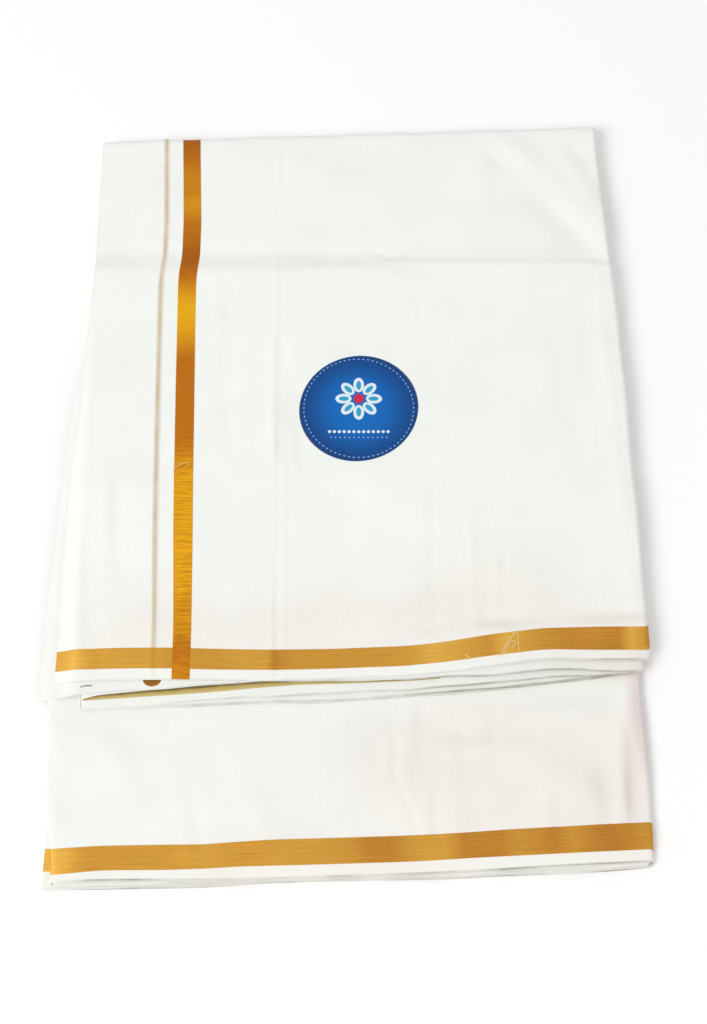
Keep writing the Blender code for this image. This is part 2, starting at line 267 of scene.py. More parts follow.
def depth_of(layer):
    """How deep a layer lies in its half, from the packet's outer face."""
    return OUTER_DEPTH + PITCH * (layer - 1)


def left_x(layer, run):
    return side_x(LAYER[layer]["left side"], run) + LAYER[layer]["left inset, mm"] * MM


def stop_x(layer, run):
    """Where a layer's right side fold starts. The inner folds stop short of the outer one near the hem."""
    inset = LAYER[layer]["right inset, mm"] * MM
    if inset:
        inset = inset + HEM_INSET * np.exp(-np.asarray(run) / HEM_INSET_RUN)
    return side_x("right", run) - SIDE_FOLD - inset


print("layers lie", round(PITCH / MM, 2), "mm apart, and the side fold's radius is",
      round(SIDE_FOLD / MM, 2), "mm")

# %% [markdown]
# ## Hems that wander
#
# A hem is never a ruled line. Each layer's hem wanders by half a millimetre, in waves of its own, so the
# stack shows a bundle of almost parallel edges instead of copies of one.

# %% Hem lines
WANDER = 0.45 * MM
SIDE_RECEDE = 18 * MM
RECEDE_REACH = 16 * MM
hem_right = side_x("right", 0.0)


def wander(x, layer):
    """A small wave along a hem, different for each layer."""
    return WANDER * (np.sin(x / (21 * MM) + 2.3 * layer) + 0.6 * np.sin(x / (8.3 * MM) + 1.7 * layer))


def flap_hem(layer, x):
    """A layer's hem on the flap. The lowest one draws back towards the right, inside the side fold."""
    row = LAYER[layer]
    lifted = hem_table(row["flap hem"], x / MM) + row["hem lift, mm"] * MM
    back = SIDE_RECEDE * np.exp(-np.maximum(hem_right - x, 0) / RECEDE_REACH) * (layer == LAYERS)
    return lifted + wander(x, layer) * (layer > 1) + back


def back_hem(layer, x):
    """A layer's hem on the back half, between the one that shows and the lowest."""
    share = LAYER[layer]["back share"]
    back, under = hem_table("back", x / MM), hem_table("under", x / MM)
    return back + (under - back) * share + wander(x, layer + LAYERS) * (1 < layer < LAYERS)


print("third hem at the left, mm:", round(float(flap_hem(3, np.array(-0.2)) / MM), 1))

# %% [markdown]
# ## Creases
#
# Pressed cotton keeps the marks of every fold it has had. Each crease is a soft ridge or step along a line:
# a bell shape across it, which `rise` lifts or sinks, and which `lean` tips, so that the line itself becomes
# a slope that faces the light or turns away. The table names where each one starts and ends, half its width,
# and those two heights, all in millimetres. The heights swell and fade along the line, so none is even.

# %% Creases on the flap and on the back half
FLAP_CREASES = (  # from x, from y, to x, to y, reach, rise, lean
    # the pressed fold across the flap: a wide slope at the left, a narrow one with a lip at the right
    (-250, 204, 28, 203, 13.0, 0.00, -2.30),
    (48, 206, 256, 203, 5.0, 0.00, -1.15),
    (60, 190, 250, 188, 22.0, 1.50, 0.00),
    (140, 183, 228, 185, 4.5, 0.00, -0.45),
    # a small star where it meets an older fold, and the arc below it
    (33, 214, 43, 208, 2.8, -0.80, 0.00),
    (56, 217, 48, 210, 2.8, -0.85, 0.00),
    (42, 205, 50, 205, 3.2, 0.70, 0.00),
    (87, 214, 93, 214, 3.2, 0.00, -0.50),
    (54, 210, 60, 208, 2.8, 0.00, -0.50),
    (38, 217, 43, 215, 2.8, 0.00, -0.45),
    (150, 200, 128, 200, 3.0, 0.00, 0.35),
    (222, 206, 228, 206, 3.6, 0.00, -0.45),
    (240, 200, 246, 199, 3.0, 0.00, -0.60),
    (46, 196, 62, 168, 4.0, 0.00, -0.50),
    (62, 168, 66, 148, 4.0, 0.00, -0.40),
    # the long fold down the flap, as two faint lines, and older ones beside it
    (-61, 340, -61, 288, 4.0, 0.00, -0.40),
    (-60, 200, -60, 140, 5.0, 0.00, -0.60),
    (-61, 120, -57, -190, 3.0, 0.00, -0.32),
    (-51, 60, -47, -190, 3.0, 0.00, -0.30),
    (-60, 106, -58, 14, 7.0, 0.00, -1.30),
    (-44, 34, -40, 2, 9.0, 0.00, -0.80),
    (-58, -120, -57, -190, 3.5, 0.00, -0.40),
    (79, 30, 77, -150, 5.0, -0.40, 0.20),
    (109, -60, 110, -140, 5.0, 0.60, 0.00),
    (134, -96, 133, -132, 5.0, 0.00, -0.60),
    (169, -92, 168, -108, 5.0, 0.00, -0.35),
    # soft hollows and swellings
    (-201, -27, -197, -92, 9.0, 0.00, -1.10),
    (-222, -100, -213, -166, 12.0, 0.00, -1.10),
    (-112, 176, -110, 130, 8.0, 0.00, -0.80),
    (-102, 118, -100, 20, 8.0, -0.54, 0.27),
    (188, 104, 188, 64, 12.0, 0.00, -0.90),
    (219, 118, 219, 88, 10.0, -0.60, 0.00),
    (208, 40, 208, 10, 9.0, -0.50, 0.00),
    (236, 170, 244, -120, 7.0, 0.70, -0.30),
    (-20, -2, 60, -60, 26.0, 0.00, 1.10),
    # the raised diagonal at the upper right, with the shade beyond it
    (160, 322, 240, 222, 17.0, 0.00, 3.30),
    (206, 352, 250, 262, 12.0, 0.00, -2.00),
    (141, 352, 139, 290, 10.0, 0.00, -0.90),
    (-20, 300, 60, 262, 22.0, 0.60, 0.00),
    (-190, 300, -180, 240, 20.0, 0.60, 0.17),
    # the slope over the border at the right, where the hem lifts
    (66, -155, 130, -149, 7.0, 0.00, -1.10),
    (128, -149, 256, -142, 8.0, 0.00, -2.30),
    (-40, -168, 40, -165, 8.0, 0.00, -0.50),
)
BACK_CREASES = (
    (-195, -226, -158, -284, 14.0, 0.00, -0.90),
    (-216, -228, -172, -248, 12.0, 0.00, -0.55),
    (-231, -205, -229, -300, 7.0, 0.60, 0.00),
    (60, -222, 59, -250, 9.0, 0.00, -1.80),
    (39, -244, 38, -269, 4.0, 0.00, -0.90),
    (44, -266, 60, -310, 3.2, 0.00, 0.62),
    (70, -292, 70, -312, 6.0, 0.00, -1.00),
    (90, -244, 137, -244, 10.0, 0.00, -1.30),
    (92, -240, 91, -264, 7.0, 0.00, -0.90),
    (118, -226, 118, -241, 7.0, 0.00, -0.80),
    (150, -218, 176, -214, 9.0, 0.00, -1.10),
    (150, -258, 195, -286, 16.0, 1.30, 0.00),
    (169, -286, 168, -304, 8.0, 0.00, -1.10),
    (231, -244, 228, -297, 6.5, 0.00, -2.10),
    (240, -196, 240, -246, 8.0, 0.00, -1.50),
    (204, -285, 206, -306, 9.0, 0.00, -1.30),
    (98, -282, 98, -310, 8.0, 0.00, -0.90),
    (-90, -250, -60, -318, 12.0, 0.60, 0.00),
    (-125, -300, -118, -325, 8.0, 0.00, -0.60),
)
UNEVEN = 0.3
END_FADE = 2.2


def crease_field(x, y, creases):
    """The height that a table of creases adds at each place."""
    height = np.zeros(np.broadcast(x, y).shape)
    for from_x, from_y, to_x, to_y, reach, rise, lean in creases:
        way_x, way_y = to_x - from_x, to_y - from_y
        length = math.hypot(way_x, way_y)
        off_x, off_y = x / MM - from_x, y / MM - from_y
        along = (off_x * way_x + off_y * way_y) / length
        away = (off_x * way_y - off_y * way_x) / length / reach
        past = np.maximum(np.maximum(-along, along - length), 0) / (END_FADE * reach)
        swell = 1 + UNEVEN * np.sin(along / 19 + from_x)
        height += swell * np.exp(-past ** 2 - away ** 2) * (rise - lean * away)
    return height * MM


print("creases:", len(FLAP_CREASES), "on the flap and", len(BACK_CREASES), "on the back half")

# %% [markdown]
# ## Soft swell, sinking edges and slumped ends
#
# Under the creases the packet swells and dips by a fraction of a millimetre, because air is caught between
# its layers. Towards the free left edge and the hems the layers press closer together. At the left the two
# cut ends reach past the folded layers with nothing under them, so they slump, first onto the back half and,
# where the second one reaches past that too, down towards the table. At a few places a hem lifts off the
# layer below, which leaves the dark gaps that show that the edge is a stack of sheets.

# %% How the surface rises and falls
SWELLS = (  # wavelength in mm, its direction in degrees, its height in mm, its phase
    (210, 25, 0.44, 0.4), (150, 110, 0.38, 1.9), (96, 65, 0.27, 3.1), (71, 150, 0.21, 5.0),
    (48, 95, 0.12, 2.2),
)
HEM_PRESS = 0.26
SIDE_PRESS = 0.07
EDGE_REACH = 26 * MM
SLUMP = 5.4 * MM
SLUMP_REACH = 12 * MM
FOLD_CLEARANCE = 5 * MM
STACK_LEFT = -240 * MM
OVERHANG_DROP = 4.0 * MM
OVERHANG_REACH = 9 * MM
HEM_LIFTS = (  # the deepest layer that lifts, x in mm, half width in mm, height in mm
    (1, 226, 24, 2.3), (2, 174, 38, 2.9), (1, 120, 30, 0.3), (2, -130, 45, 0.9), (1, -180, 40, 0.5),
    (2, 40, 60, 1.2), (4, 130, 60, 1.0), (7, 190, 60, 0.6),
)
BACK_LIFTS = ((1, -204, 17, 1.1), (1, 130, 60, 0.3), (1, 196, 22, 0.6), (2, 20, 30, 0.3))
LIFT_REACH = 24 * MM
FLAP_LEFT = -238 * MM
BACK_LEFT = -240 * MM
TOP_FADE = 24 * MM
COVER_FADE = 14 * MM


def swell(x, y):
    """The low, wide waves of the whole packet."""
    total = 0
    for length, turn, height, phase in SWELLS:
        way = x * math.cos(math.radians(turn)) + y * math.sin(math.radians(turn))
        total = total + height * MM * np.sin(2 * math.pi * way / (length * MM) + phase)
    return total


def free_edge_sink(x, y, left, hem):
    """The share of the depth that is lost at the free left edge and the hem; nothing at the top fold."""
    from_fold = np.clip((fold_start(x) - y) / (fold_start(x) - hem), 0, 1)
    side = np.exp(-np.maximum(x - left, -EDGE_REACH) / EDGE_REACH)
    end = np.exp(-np.maximum(y - hem, -EDGE_REACH) / EDGE_REACH)
    uneven = 1 + 0.3 * np.sin(x / (37 * MM) + 1.2) * np.cos(y / (52 * MM))
    return from_fold * (SIDE_PRESS * side + HEM_PRESS * end) * uneven


def slump(x, y):
    """How far the two cut ends fall at the left, where no folded layer lies under them."""
    hem = hem_table("outer", x / MM)
    run = np.clip((y - hem) / (fold_start(x) - hem), 0, 1)
    past_folds = np.maximum(side_x("hidden_left", run) - FOLD_CLEARANCE - x, 0)
    past_stack = np.maximum(STACK_LEFT - x, 0)
    fall = SLUMP * (1 - np.exp(-(past_folds / SLUMP_REACH) ** 2))
    fall = fall + OVERHANG_DROP * (1 - np.exp(-(past_stack / OVERHANG_REACH) ** 2))
    return fall * np.clip((1 - run) / 0.1, 0, 1)


def hem_lift(x, from_hem, layer, lifts):
    """How far a layer's hem lifts with the layers over it; the uppermost layer is number 1."""
    total = 0
    for deepest, middle, width, height in lifts:
        if layer <= deepest:
            total = total + height * MM * np.exp(-((x / MM - middle) / width) ** 2)
    return total * np.exp(-np.maximum(from_hem, 0) / LIFT_REACH)


# %% [markdown]
# ## The height of any point
#
# The outer face shows every crease, the layers below it show less and less of them, and the face that lies
# on the table shows none, so it stays flat. Scaling by depth in this way also keeps the layers in order:
# no layer can pass through the one below it.

# %% Heights of the two halves
FLAP_BASE = HALF_DEPTH + HALVES_GAP
FLUTTER = 0.09 * MM


def flutter(x, y, layer):
    """A slight wave of each layer's own, which keeps the gaps between the edges uneven."""
    return FLUTTER * np.sin(x / (31 * MM) + y / (43 * MM) + 1.9 * layer)


def flap_height(x, y, depth, layer):
    """The height of a point on the flap; creases fade out towards the top fold."""
    hem = flap_hem(layer, x)
    share = (HALF_DEPTH - depth) / HALF_DEPTH
    sink = free_edge_sink(x, y, FLAP_LEFT, hem_table("outer", x / MM))
    near_fold = np.clip((fold_start(x) - y) / TOP_FADE, 0, 1)
    relief = (crease_field(x, y, FLAP_CREASES) + swell(x, y)) * near_fold
    height = FLAP_BASE + (HALF_DEPTH - depth) * (1 - sink) + relief * share
    edge = (hem_lift(x, y - hem, layer, HEM_LIFTS) + flutter(x, y, layer)) * near_fold
    return height + edge - slump(x, y) * (layer <= 2)


def back_height(x, y, depth, layer):
    """The height of a point on the back half; creases fade out where the flap covers it."""
    share = depth / HALF_DEPTH
    hem = back_hem(layer, x)
    sink = free_edge_sink(x, y, BACK_LEFT, hem_table("back", x / MM))
    cover = np.minimum(hem_table("third", x / MM), hem_table("fourth", x / MM))
    shown = np.clip((cover - y) / COVER_FADE, 0, 1)
    relief = (crease_field(x, y, BACK_CREASES) + 0.8 * swell(x, y)) * shown
    edge = flutter(x, y, layer + LAYERS) * np.exp(-np.maximum(y - hem, 0) / LIFT_REACH)
    edge = edge + hem_lift(x, y - hem, LAYERS + 1 - layer, BACK_LIFTS) * shown
    return depth * (1 - sink) + (relief + edge) * np.minimum(share * 1.2, 1) * (share > 0.06)


# %% [markdown]
# ## Placing a point of the cloth
#
# One function turns a place in the layers into a point in space: flat along the flap, half a turn round the
# top fold, and flat again along the back half. The fold pulls little waves into the cloth that goes round it,
# which shows from behind. Every shape after this one, cloth or gold, is made of points from this function.

# %% A point of the packet
TOP_FOLD_REACH = 10 * MM
FOLD_WAVES = 0.07


def mixed_hem(hem, first, second, mix, x):
    """The hem of a layer, or of a fold between two layers."""
    if first == second:
        return hem(first, x)
    return hem(first, x) * (1 - mix) + hem(second, x) * mix


def lay(x, run, depth, first, second=None, mix=0.0):
    """Points at x, that far along the run and that deep, on a layer or on the fold between two."""
    second = second or first
    start = fold_start(x)
    flap_y = start + (mixed_hem(flap_hem, first, second, mix, x) - start) * (1 - run)
    back_y = start + (mixed_hem(back_hem, first, second, mix, x) - start) * (run - 2)
    nearer = first if mix < 0.5 else second
    angle = np.clip(run - 1, 0, 1) * math.pi
    waves = 1 + FOLD_WAVES * (np.sin(x / (17 * MM)) + 0.7 * np.sin(x / (7.1 * MM) + 1))
    reach = (TOP_FOLD_REACH - depth) * waves * np.sin(angle)
    middle = PACKET_HEIGHT / 2
    y = np.where(run <= 1, flap_y, np.where(run >= 2, back_y, start + reach))
    z = np.where(
        run <= 1, flap_height(x, flap_y, depth, nearer),
        np.where(run >= 2, back_height(x, back_y, depth, nearer), middle + (middle - depth) * np.cos(angle)))
    return np.stack([x, y, z], axis=-1) - PACKET_MIDDLE


# %% [markdown]
# ## Threads along the run
#
# The mesh of a layer is a set of lines along the run, side by side, as warp threads are. A line is flat on
# its layer, or it is part of a side fold, where it lies on a half circle between two layers. `lift` moves
# it out of the cloth, which the woven gold uses to lie on the cotton.

# %% Lines of the mesh
SIDE_WAVES = 0.10


def flat_line(layer, share, lift=0.0):
    """A line on a layer, at a share of the way from its left side to its right fold."""
    outwards = lift if layer > LAYERS / 2 else -lift
    return {
        "x": lambda run: left_x(layer, run) + (stop_x(layer, run) - left_x(layer, run)) * share,
        "depth": depth_of(layer) + outwards, "first": layer, "second": layer, "mix": 0.0,
    }


def line_at(layer, place, lift=0.0):
    """A line on a layer whose x is a function of the run."""
    line = flat_line(layer, 0.0, lift)
    line["x"] = place
    return line


def fold_line(side, outer, inner, amount, lift=0.0):
    """A line on a side fold, from the outer layer at amount 0 to the inner one at 1."""
    radius = (depth_of(inner) - depth_of(outer)) / 2 + lift
    middle = (depth_of(inner) + depth_of(outer)) / 2
    angle = math.pi * amount

    def place(run):
        waves = 1 + SIDE_WAVES * np.sin(np.asarray(run) * 31 + 0.5)
        if side == "right":
            return stop_x(outer, run) + radius * waves * math.sin(angle)
        return left_x(outer, run) - radius * math.sin(angle)

    return {
        "x": place, "depth": middle - radius * math.cos(angle), "first": outer, "second": inner,
        "mix": (1 - math.cos(angle)) / 2,
    }


def flat_lines(layer, shares, lift=0.0):
    """Lines on a layer at these shares of its width."""
    return [flat_line(layer, share, lift) for share in shares]


def fold_lines(side, outer, inner, count, inwards=True, lift=0.0):
    """The lines inside a fold, without the two that the layers share with it."""
    amounts = np.arange(1, count) / count
    return [fold_line(side, outer, inner, amount, lift) for amount in (amounts if inwards else amounts[::-1])]


# %% [markdown]
# ## From lines to a sheet
#
# A grid of points becomes a mesh with one face between each four points. The sheet's own width and length,
# in metres, go into a UV map, so that a weave can follow the cloth round its folds. Solidify gives the sheet
# its thickness on both sides and closes its edges. The result is made a plain mesh, and its edges are then
# marked sharp, because soft shading over so thin an edge would smear into the face.

# %% Sheet maker
SHARP_ANGLE = math.radians(50)


def plain_mesh(piece):
    """Applies a piece's modifiers, so that it is a plain mesh."""
    evaluated = piece.evaluated_get(bpy.context.evaluated_depsgraph_get())
    mesh = bpy.data.meshes.new_from_object(evaluated)
    piece.modifiers.clear()
    piece.data = mesh
    mesh.name = piece.name
    return piece


def give_wall(piece, thickness):
    """Gives a surface its thickness on both sides and closes its edges."""
    wall = piece.modifiers.new("thickness", "SOLIDIFY")
    wall.thickness = thickness
    wall.offset = 0
    return plain_mesh(piece)


def shade(piece):
    """Shades a piece softly, apart from its sharp edges."""
    piece.data.shade_smooth()
    piece.data.set_sharp_from_angle(angle=SHARP_ANGLE)
    return piece


def new_piece(name, mesh, material):
    """A mesh as an object of the scene, in one material."""
    mesh.materials.clear()
    mesh.materials.append(material)
    piece = bpy.data.objects.new(name, mesh)
    bpy.context.scene.collection.objects.link(piece)
    return piece


def cumulative(points):
    """Distances along a row of points."""
    steps = np.linalg.norm(np.diff(points, axis=0), axis=1)
    return np.concatenate([[0], np.cumsum(steps)])


def make_sheet(name, lines, runs, material, thickness=CLOTH):
    """A thin closed sheet through lines across and stations along the run, shared or each line's own."""
    runs = np.broadcast_to(runs, (len(lines), np.shape(runs)[-1]))
    grid = np.stack([
        lay(line["x"](own), own, line["depth"], line["first"], line["second"], line["mix"])
        for line, own in zip(lines, runs)])
    across, along = grid.shape[:2]
    corner = (np.arange(across - 1)[:, None] * along + np.arange(along - 1)[None, :]).ravel()
    faces = np.stack([corner, corner + along, corner + along + 1, corner + 1], axis=1)
    mesh = bpy.data.meshes.new(name)
    mesh.from_pydata(grid.reshape(-1, 3).tolist(), [], faces.tolist())
    width, length = cumulative(grid[:, along // 2]), cumulative(grid[across // 2])
    uv = np.stack(np.meshgrid(width, length, indexing="ij"), axis=-1).reshape(-1, 2)
    layer = mesh.uv_layers.new(name="cloth")
    loops = np.empty(len(mesh.loops), dtype=np.int32)
    mesh.loops.foreach_get("vertex_index", loops)
    layer.data.foreach_set("uv", uv[loops].astype(np.float32).ravel())
    walked = np.stack([cumulative(line) for line in grid])
    from_hem = np.full(walked.shape, 1.0) if runs.min() > 0 else walked
    if runs.max() == 3:
        from_hem = np.minimum(from_hem, walked[:, -1:] - walked)
    attribute = mesh.attributes.new("from_hem", "FLOAT", "POINT")
    attribute.data.foreach_set("value", from_hem.ravel().astype(np.float32))
    print(f"{name}: {across} x {along} points, {width[-1]:.3f} x {length[-1]:.3f} m")
    return shade(give_wall(new_piece(name, mesh, material), thickness))


def stations(*spans):
    """Places from one number to another, each span with its own count of steps."""
    places = [spans[0][0]]
    for start, stop, count in spans:
        places += np.linspace(start, stop, count + 1)[1:].tolist()
    return places


# %% [markdown]
# ## A short way to write materials
#
# Every finish here is a Principled shader with a few nodes in front. A few helpers keep them readable: one
# makes the shader with its constant values, one adds a node with its settings and inputs by name, and small
# ones stand for the steps that come back all the time: arithmetic, a change of range, noise, a colour ramp.
# The last one links the colour and a chain of bumps. `screen` turns a colour as it is seen on a screen into
# the linear one that a shader takes.

# %% Material helpers
def screen(red, green, blue):
    """A colour given as 0 to 255 on a screen, in linear values."""
    values = [channel / 255 for channel in (red, green, blue)]
    return tuple(v / 12.92 if v <= 0.04045 else ((v + 0.055) / 1.055) ** 2.4 for v in values) + (1.0,)


def new_finish(name, **constants):
    """A material with a Principled shader whose sockets take these values, and its tree."""
    material = bpy.data.materials.new(name)
    material.use_nodes = True
    shader = material.node_tree.nodes["Principled BSDF"]
    for socket, value in constants.items():
        shader.inputs[socket.replace("_", " ")].default_value = value
    return material, material.node_tree


def add_node(tree, kind, settings=None, **inputs):
    """A node with its settings and its inputs; an input that is a socket is linked."""
    node = tree.nodes.new(kind)
    for name, value in (settings or {}).items():
        setattr(node, name, value)
    for name, value in inputs.items():
        socket = node.inputs[int(name[3:])] if name.startswith("at_") else node.inputs[name.replace("_", " ")]
        if isinstance(value, bpy.types.NodeSocket):
            tree.links.new(value, socket)
        else:
            socket.default_value = value
    return node


def coordinates(tree):
    """The two kinds of place that a finish can follow: the cloth's own UV map, and the whole object."""
    place = add_node(tree, "ShaderNodeTexCoord")
    return place.outputs["UV"], place.outputs["Object"]


def axis_of(tree, vector, axis):
    """One of a vector's three numbers."""
    return add_node(tree, "ShaderNodeSeparateXYZ", Vector=vector).outputs[axis]


def maths(tree, operation, *values, kind="ShaderNodeMath", output=0):
    """A step of arithmetic on numbers and sockets."""
    inputs = {f"at_{index}": value for index, value in enumerate(values)}
    return add_node(tree, kind, {"operation": operation}, **inputs).outputs[output]


def vectors(tree, operation, *values, output=0):
    """The same for vectors."""
    return maths(tree, operation, *values, kind="ShaderNodeVectorMath", output=output)


def spread(tree, value, low, high, to_low, to_high, kind="LINEAR"):
    """A value that runs from low to high, made to run between two others."""
    node = add_node(tree, "ShaderNodeMapRange", {"interpolation_type": kind},
                    Value=value, at_1=low, at_2=high, at_3=to_low, at_4=to_high)
    return node.outputs[0]


def ramp(tree, factor, stops):
    """A colour ramp through (place, colour) stops."""
    node = add_node(tree, "ShaderNodeValToRGB", Fac=factor)
    elements = node.color_ramp.elements
    while len(elements) < len(stops):
        elements.new(0.5)
    for element, (place, colour) in zip(elements, stops):
        element.position = place
        element.color = colour
    return node.outputs["Color"]


def mix_colours(tree, factor, first, second, blend="MIX"):
    """One colour mixed into another."""
    node = add_node(tree, "ShaderNodeMix", {"data_type": "RGBA", "blend_type": blend})
    for index, value in ((0, factor), (6, first), (7, second)):
        if isinstance(value, bpy.types.NodeSocket):
            tree.links.new(value, node.inputs[index])
        else:
            node.inputs[index].default_value = value
    return node.outputs[2]


def times(tree, colour, light):
    """A colour made lighter or darker."""
    return mix_colours(tree, 1.0, colour, light, "MULTIPLY")


def soft_noise(tree, source, scale, detail=2.0):
    """Noise that is the same in all directions."""
    return add_node(tree, "ShaderNodeTexNoise", Vector=source, Scale=scale, Detail=detail).outputs[0]


def stretched_noise(tree, source, scale, detail=2.0, rough=0.5):
    """Noise that is longer along one axis than along the others, like threads."""
    mapping = add_node(tree, "ShaderNodeMapping", Vector=source, Scale=scale)
    node = add_node(tree, "ShaderNodeTexNoise",
                    Vector=mapping.outputs[0], Scale=1.0, Detail=detail, Roughness=rough)
    return node.outputs[0]


def bands(tree, source, direction, pitch):
    """Even waves across one axis, a pitch apart, in metres."""
    scale = 2 * math.pi / 20 / pitch
    node = add_node(tree, "ShaderNodeTexWave", {"bands_direction": direction}, Vector=source, Scale=scale)
    return node.outputs["Fac"]


def finish_with(material, colour, *bumps):
    """Links the colour, and a chain of bumps given as height, strength and distance."""
    tree = material.node_tree
    shader = tree.nodes["Principled BSDF"]
    tree.links.new(colour, shader.inputs["Base Color"])
    relief = {}
    for height, strength, distance in bumps:
        bump = add_node(tree, "ShaderNodeBump", Strength=strength, Distance=distance, Height=height, **relief)
        relief = {"Normal": bump.outputs[0]}
    if relief:
        tree.links.new(relief["Normal"], shader.inputs["Normal"])
    return material


# %% [markdown]
# ## The cotton
#
# Bleached dhoti cotton is a fine plain weave of about 25 threads to the centimetre, with a slight lustre
# from starch. Its white is not one white: it is cool over most of the flap and warmer above the hems and on
# the back half. A pinkish grey is painted into the pressed folds and along the right side folds, as painted
# shade. Two tables of soft patches say where. Thicker threads, called slubs, show as faint streaks both ways;
# they follow the cloth's own UV map, so they turn with the folds, while the wide changes of white follow the
# object's coordinates.
#
# A thin grey line is painted along the last two millimetres before each hem: painted shadow of the gap under
# the hem. It is strong where the hems lie loose and weak where they are pressed. Each point of the cloth
# carries its distance from the hem as an attribute.

# %% Cotton finish
THREAD_PITCH = 0.40 * MM
COOL_WHITE = screen(243, 246, 241)
WARM_WHITE = screen(243, 239, 232)
# a pinkish grey painted into the folds: painted shade
PAINTED_FOLD_SHADE = screen(224, 203, 203)
# painted shadow of the gap under each hem, as a grey line
PAINTED_HEM_SHADOW = screen(126, 122, 110)
HEM_SHADOW_WIDTH = 2.0 * MM
WARM_PATCHES = (  # x, y, half the width, half the height, in mm, and the strength
    (-150, -158, 120, 50, 0.80), (-20, -152, 120, 52, 0.85), (120, -134, 130, 60, 0.90),
    (220, -160, 70, 54, 0.90), (130, -280, 170, 96, 1.00), (220, -280, 100, 100, 1.00),
    (-60, -340, 150, 46, 0.80), (-190, -352, 70, 26, 0.60), (-120, -262, 170, 62, 0.35),
    (30, -345, 130, 50, 0.90),
)
# where the painted fold shade lies: x, y, half the width, half the height, in mm, and the strength
FOLD_SHADE_PATCHES = (
    (-110, 204, 190, 15, 0.12), (140, 208, 130, 11, 0.09), (-51, 35, 13, 52, 0.14),
    (-200, 204, 40, 12, 0.10), (170, -142, 130, 11, 0.14), (231, -270, 12, 48, 0.40),
    (243, -222, 12, 60, 0.56), (204, -296, 44, 34, 0.14), (98, -300, 20, 26, 0.10),
    (80, -250, 110, 50, 0.14), (250, 290, 9, 80, 0.40), (40, -150, 220, 34, 0.09),
)
# how strong the painted hem shadow is along the hems of each sheet
FLAP_HEM_SHADOWS = (
    (-60, -200, 210, 60, 0.20), (140, -196, 110, 60, 0.24), (232, -188, 40, 60, 0.60),
)
INNER_HEM_SHADOWS = (
    (-190, -212, 90, 60, 0.16), (-30, -208, 150, 60, 0.36), (160, -195, 150, 60, 0.70),
    (0, -360, 320, 50, 0.20),
)
BACK_HEM_SHADOWS = (
    (-180, -360, 50, 60, 0.80), (-90, -358, 110, 60, 0.30), (10, -355, 90, 60, 0.50),
    (150, -348, 130, 60, 0.72),
)


def patches(tree, solid, table, drift):
    """How much of a tint lies at each place: soft oval patches, their outlines moved about by noise."""
    noise = add_node(tree, "ShaderNodeTexNoise", Vector=solid, Scale=14.0, Detail=3.0)
    way = vectors(tree, "MULTIPLY_ADD", noise.outputs["Color"], (2 * drift,) * 3, (-drift,) * 3)
    moved = vectors(tree, "ADD", solid, way)
    total = 0.0
    for x, y, width, height, strength in table:
        away = vectors(tree, "SUBTRACT", moved, (x * MM, y * MM, 0))
        shares = vectors(tree, "MULTIPLY", away, (1 / width / MM, 1 / height / MM, 0))
        length = vectors(tree, "LENGTH", shares, output="Value")
        total = maths(tree, "MAXIMUM", total, spread(tree, length, 0.25, 1.30, strength, 0.0, "SMOOTHSTEP"))
    return total


def painted_hem_shadow(tree, solid, table):
    """How much painted hem shadow lies at each place: most at the hem itself, uneven along it."""
    edge = add_node(tree, "ShaderNodeAttribute", {"attribute_name": "from_hem"}).outputs["Fac"]
    near = spread(tree, edge, 0.3 * HEM_SHADOW_WIDTH, HEM_SHADOW_WIDTH, 1.0, 0.0, "SMOOTHSTEP")
    uneven = spread(tree, soft_noise(tree, solid, 26.0, 3.0), 0.38, 0.58, 0.35, 1.0)
    line = maths(tree, "MULTIPLY", near, uneven)
    return maths(tree, "MULTIPLY", line, patches(tree, solid, table, 4 * MM))


def make_cotton(name, hems, cool=COOL_WHITE, warm=WARM_WHITE):
    """Cotton in two whites, with painted shade in its folds, painted shadow along its hems, slubs and weave."""
    material, tree = new_finish(
        name, Roughness=0.82, Sheen_Weight=0.12, Sheen_Roughness=0.45, Specular_IOR_Level=0.25)
    uv, solid = coordinates(tree)
    white = mix_colours(tree, patches(tree, solid, WARM_PATCHES, 22 * MM), cool, warm)
    # painted shade in the pressed folds and along the right side folds
    white = mix_colours(tree, patches(tree, solid, FOLD_SHADE_PATCHES, 3 * MM), white, PAINTED_FOLD_SHADE)
    # painted shadow along the hems
    white = mix_colours(tree, painted_hem_shadow(tree, solid, hems), white, PAINTED_HEM_SHADOW)
    white = times(tree, white, spread(tree, soft_noise(tree, solid, 24.0, 3.0), 0.3, 0.7, 0.98, 1.01))
    slub_across = stretched_noise(tree, uv, (45, 1500, 1))
    slub_along = stretched_noise(tree, uv, (1500, 45, 1))
    slubs = maths(tree, "ADD", slub_across, slub_along)
    white = times(tree, white, spread(tree, slubs, 0.6, 1.4, 0.965, 1.02))
    weave = maths(tree, "MULTIPLY", bands(tree, uv, "X", THREAD_PITCH), bands(tree, uv, "Y", THREAD_PITCH))
    pucker = soft_noise(tree, solid, 85.0, 3.0)
    return finish_with(
        material, white, (weave, 0.25, 0.1 * MM), (slubs, 0.35, 0.25 * MM), (pucker, 0.30, 0.6 * MM))


cotton = make_cotton("bleached cotton", FLAP_HEM_SHADOWS)
back_cotton = make_cotton("bleached cotton of the back half", BACK_HEM_SHADOWS)
# The inner sheet is the same cloth in whites a little darker: painted shade inside the stack.
inner_cotton_in_shade = make_cotton(
    "bleached cotton inside", INNER_HEM_SHADOWS, screen(238, 241, 235), screen(238, 234, 227))
print("cotton:", round(10 * MM / THREAD_PITCH), "threads to the centimetre")

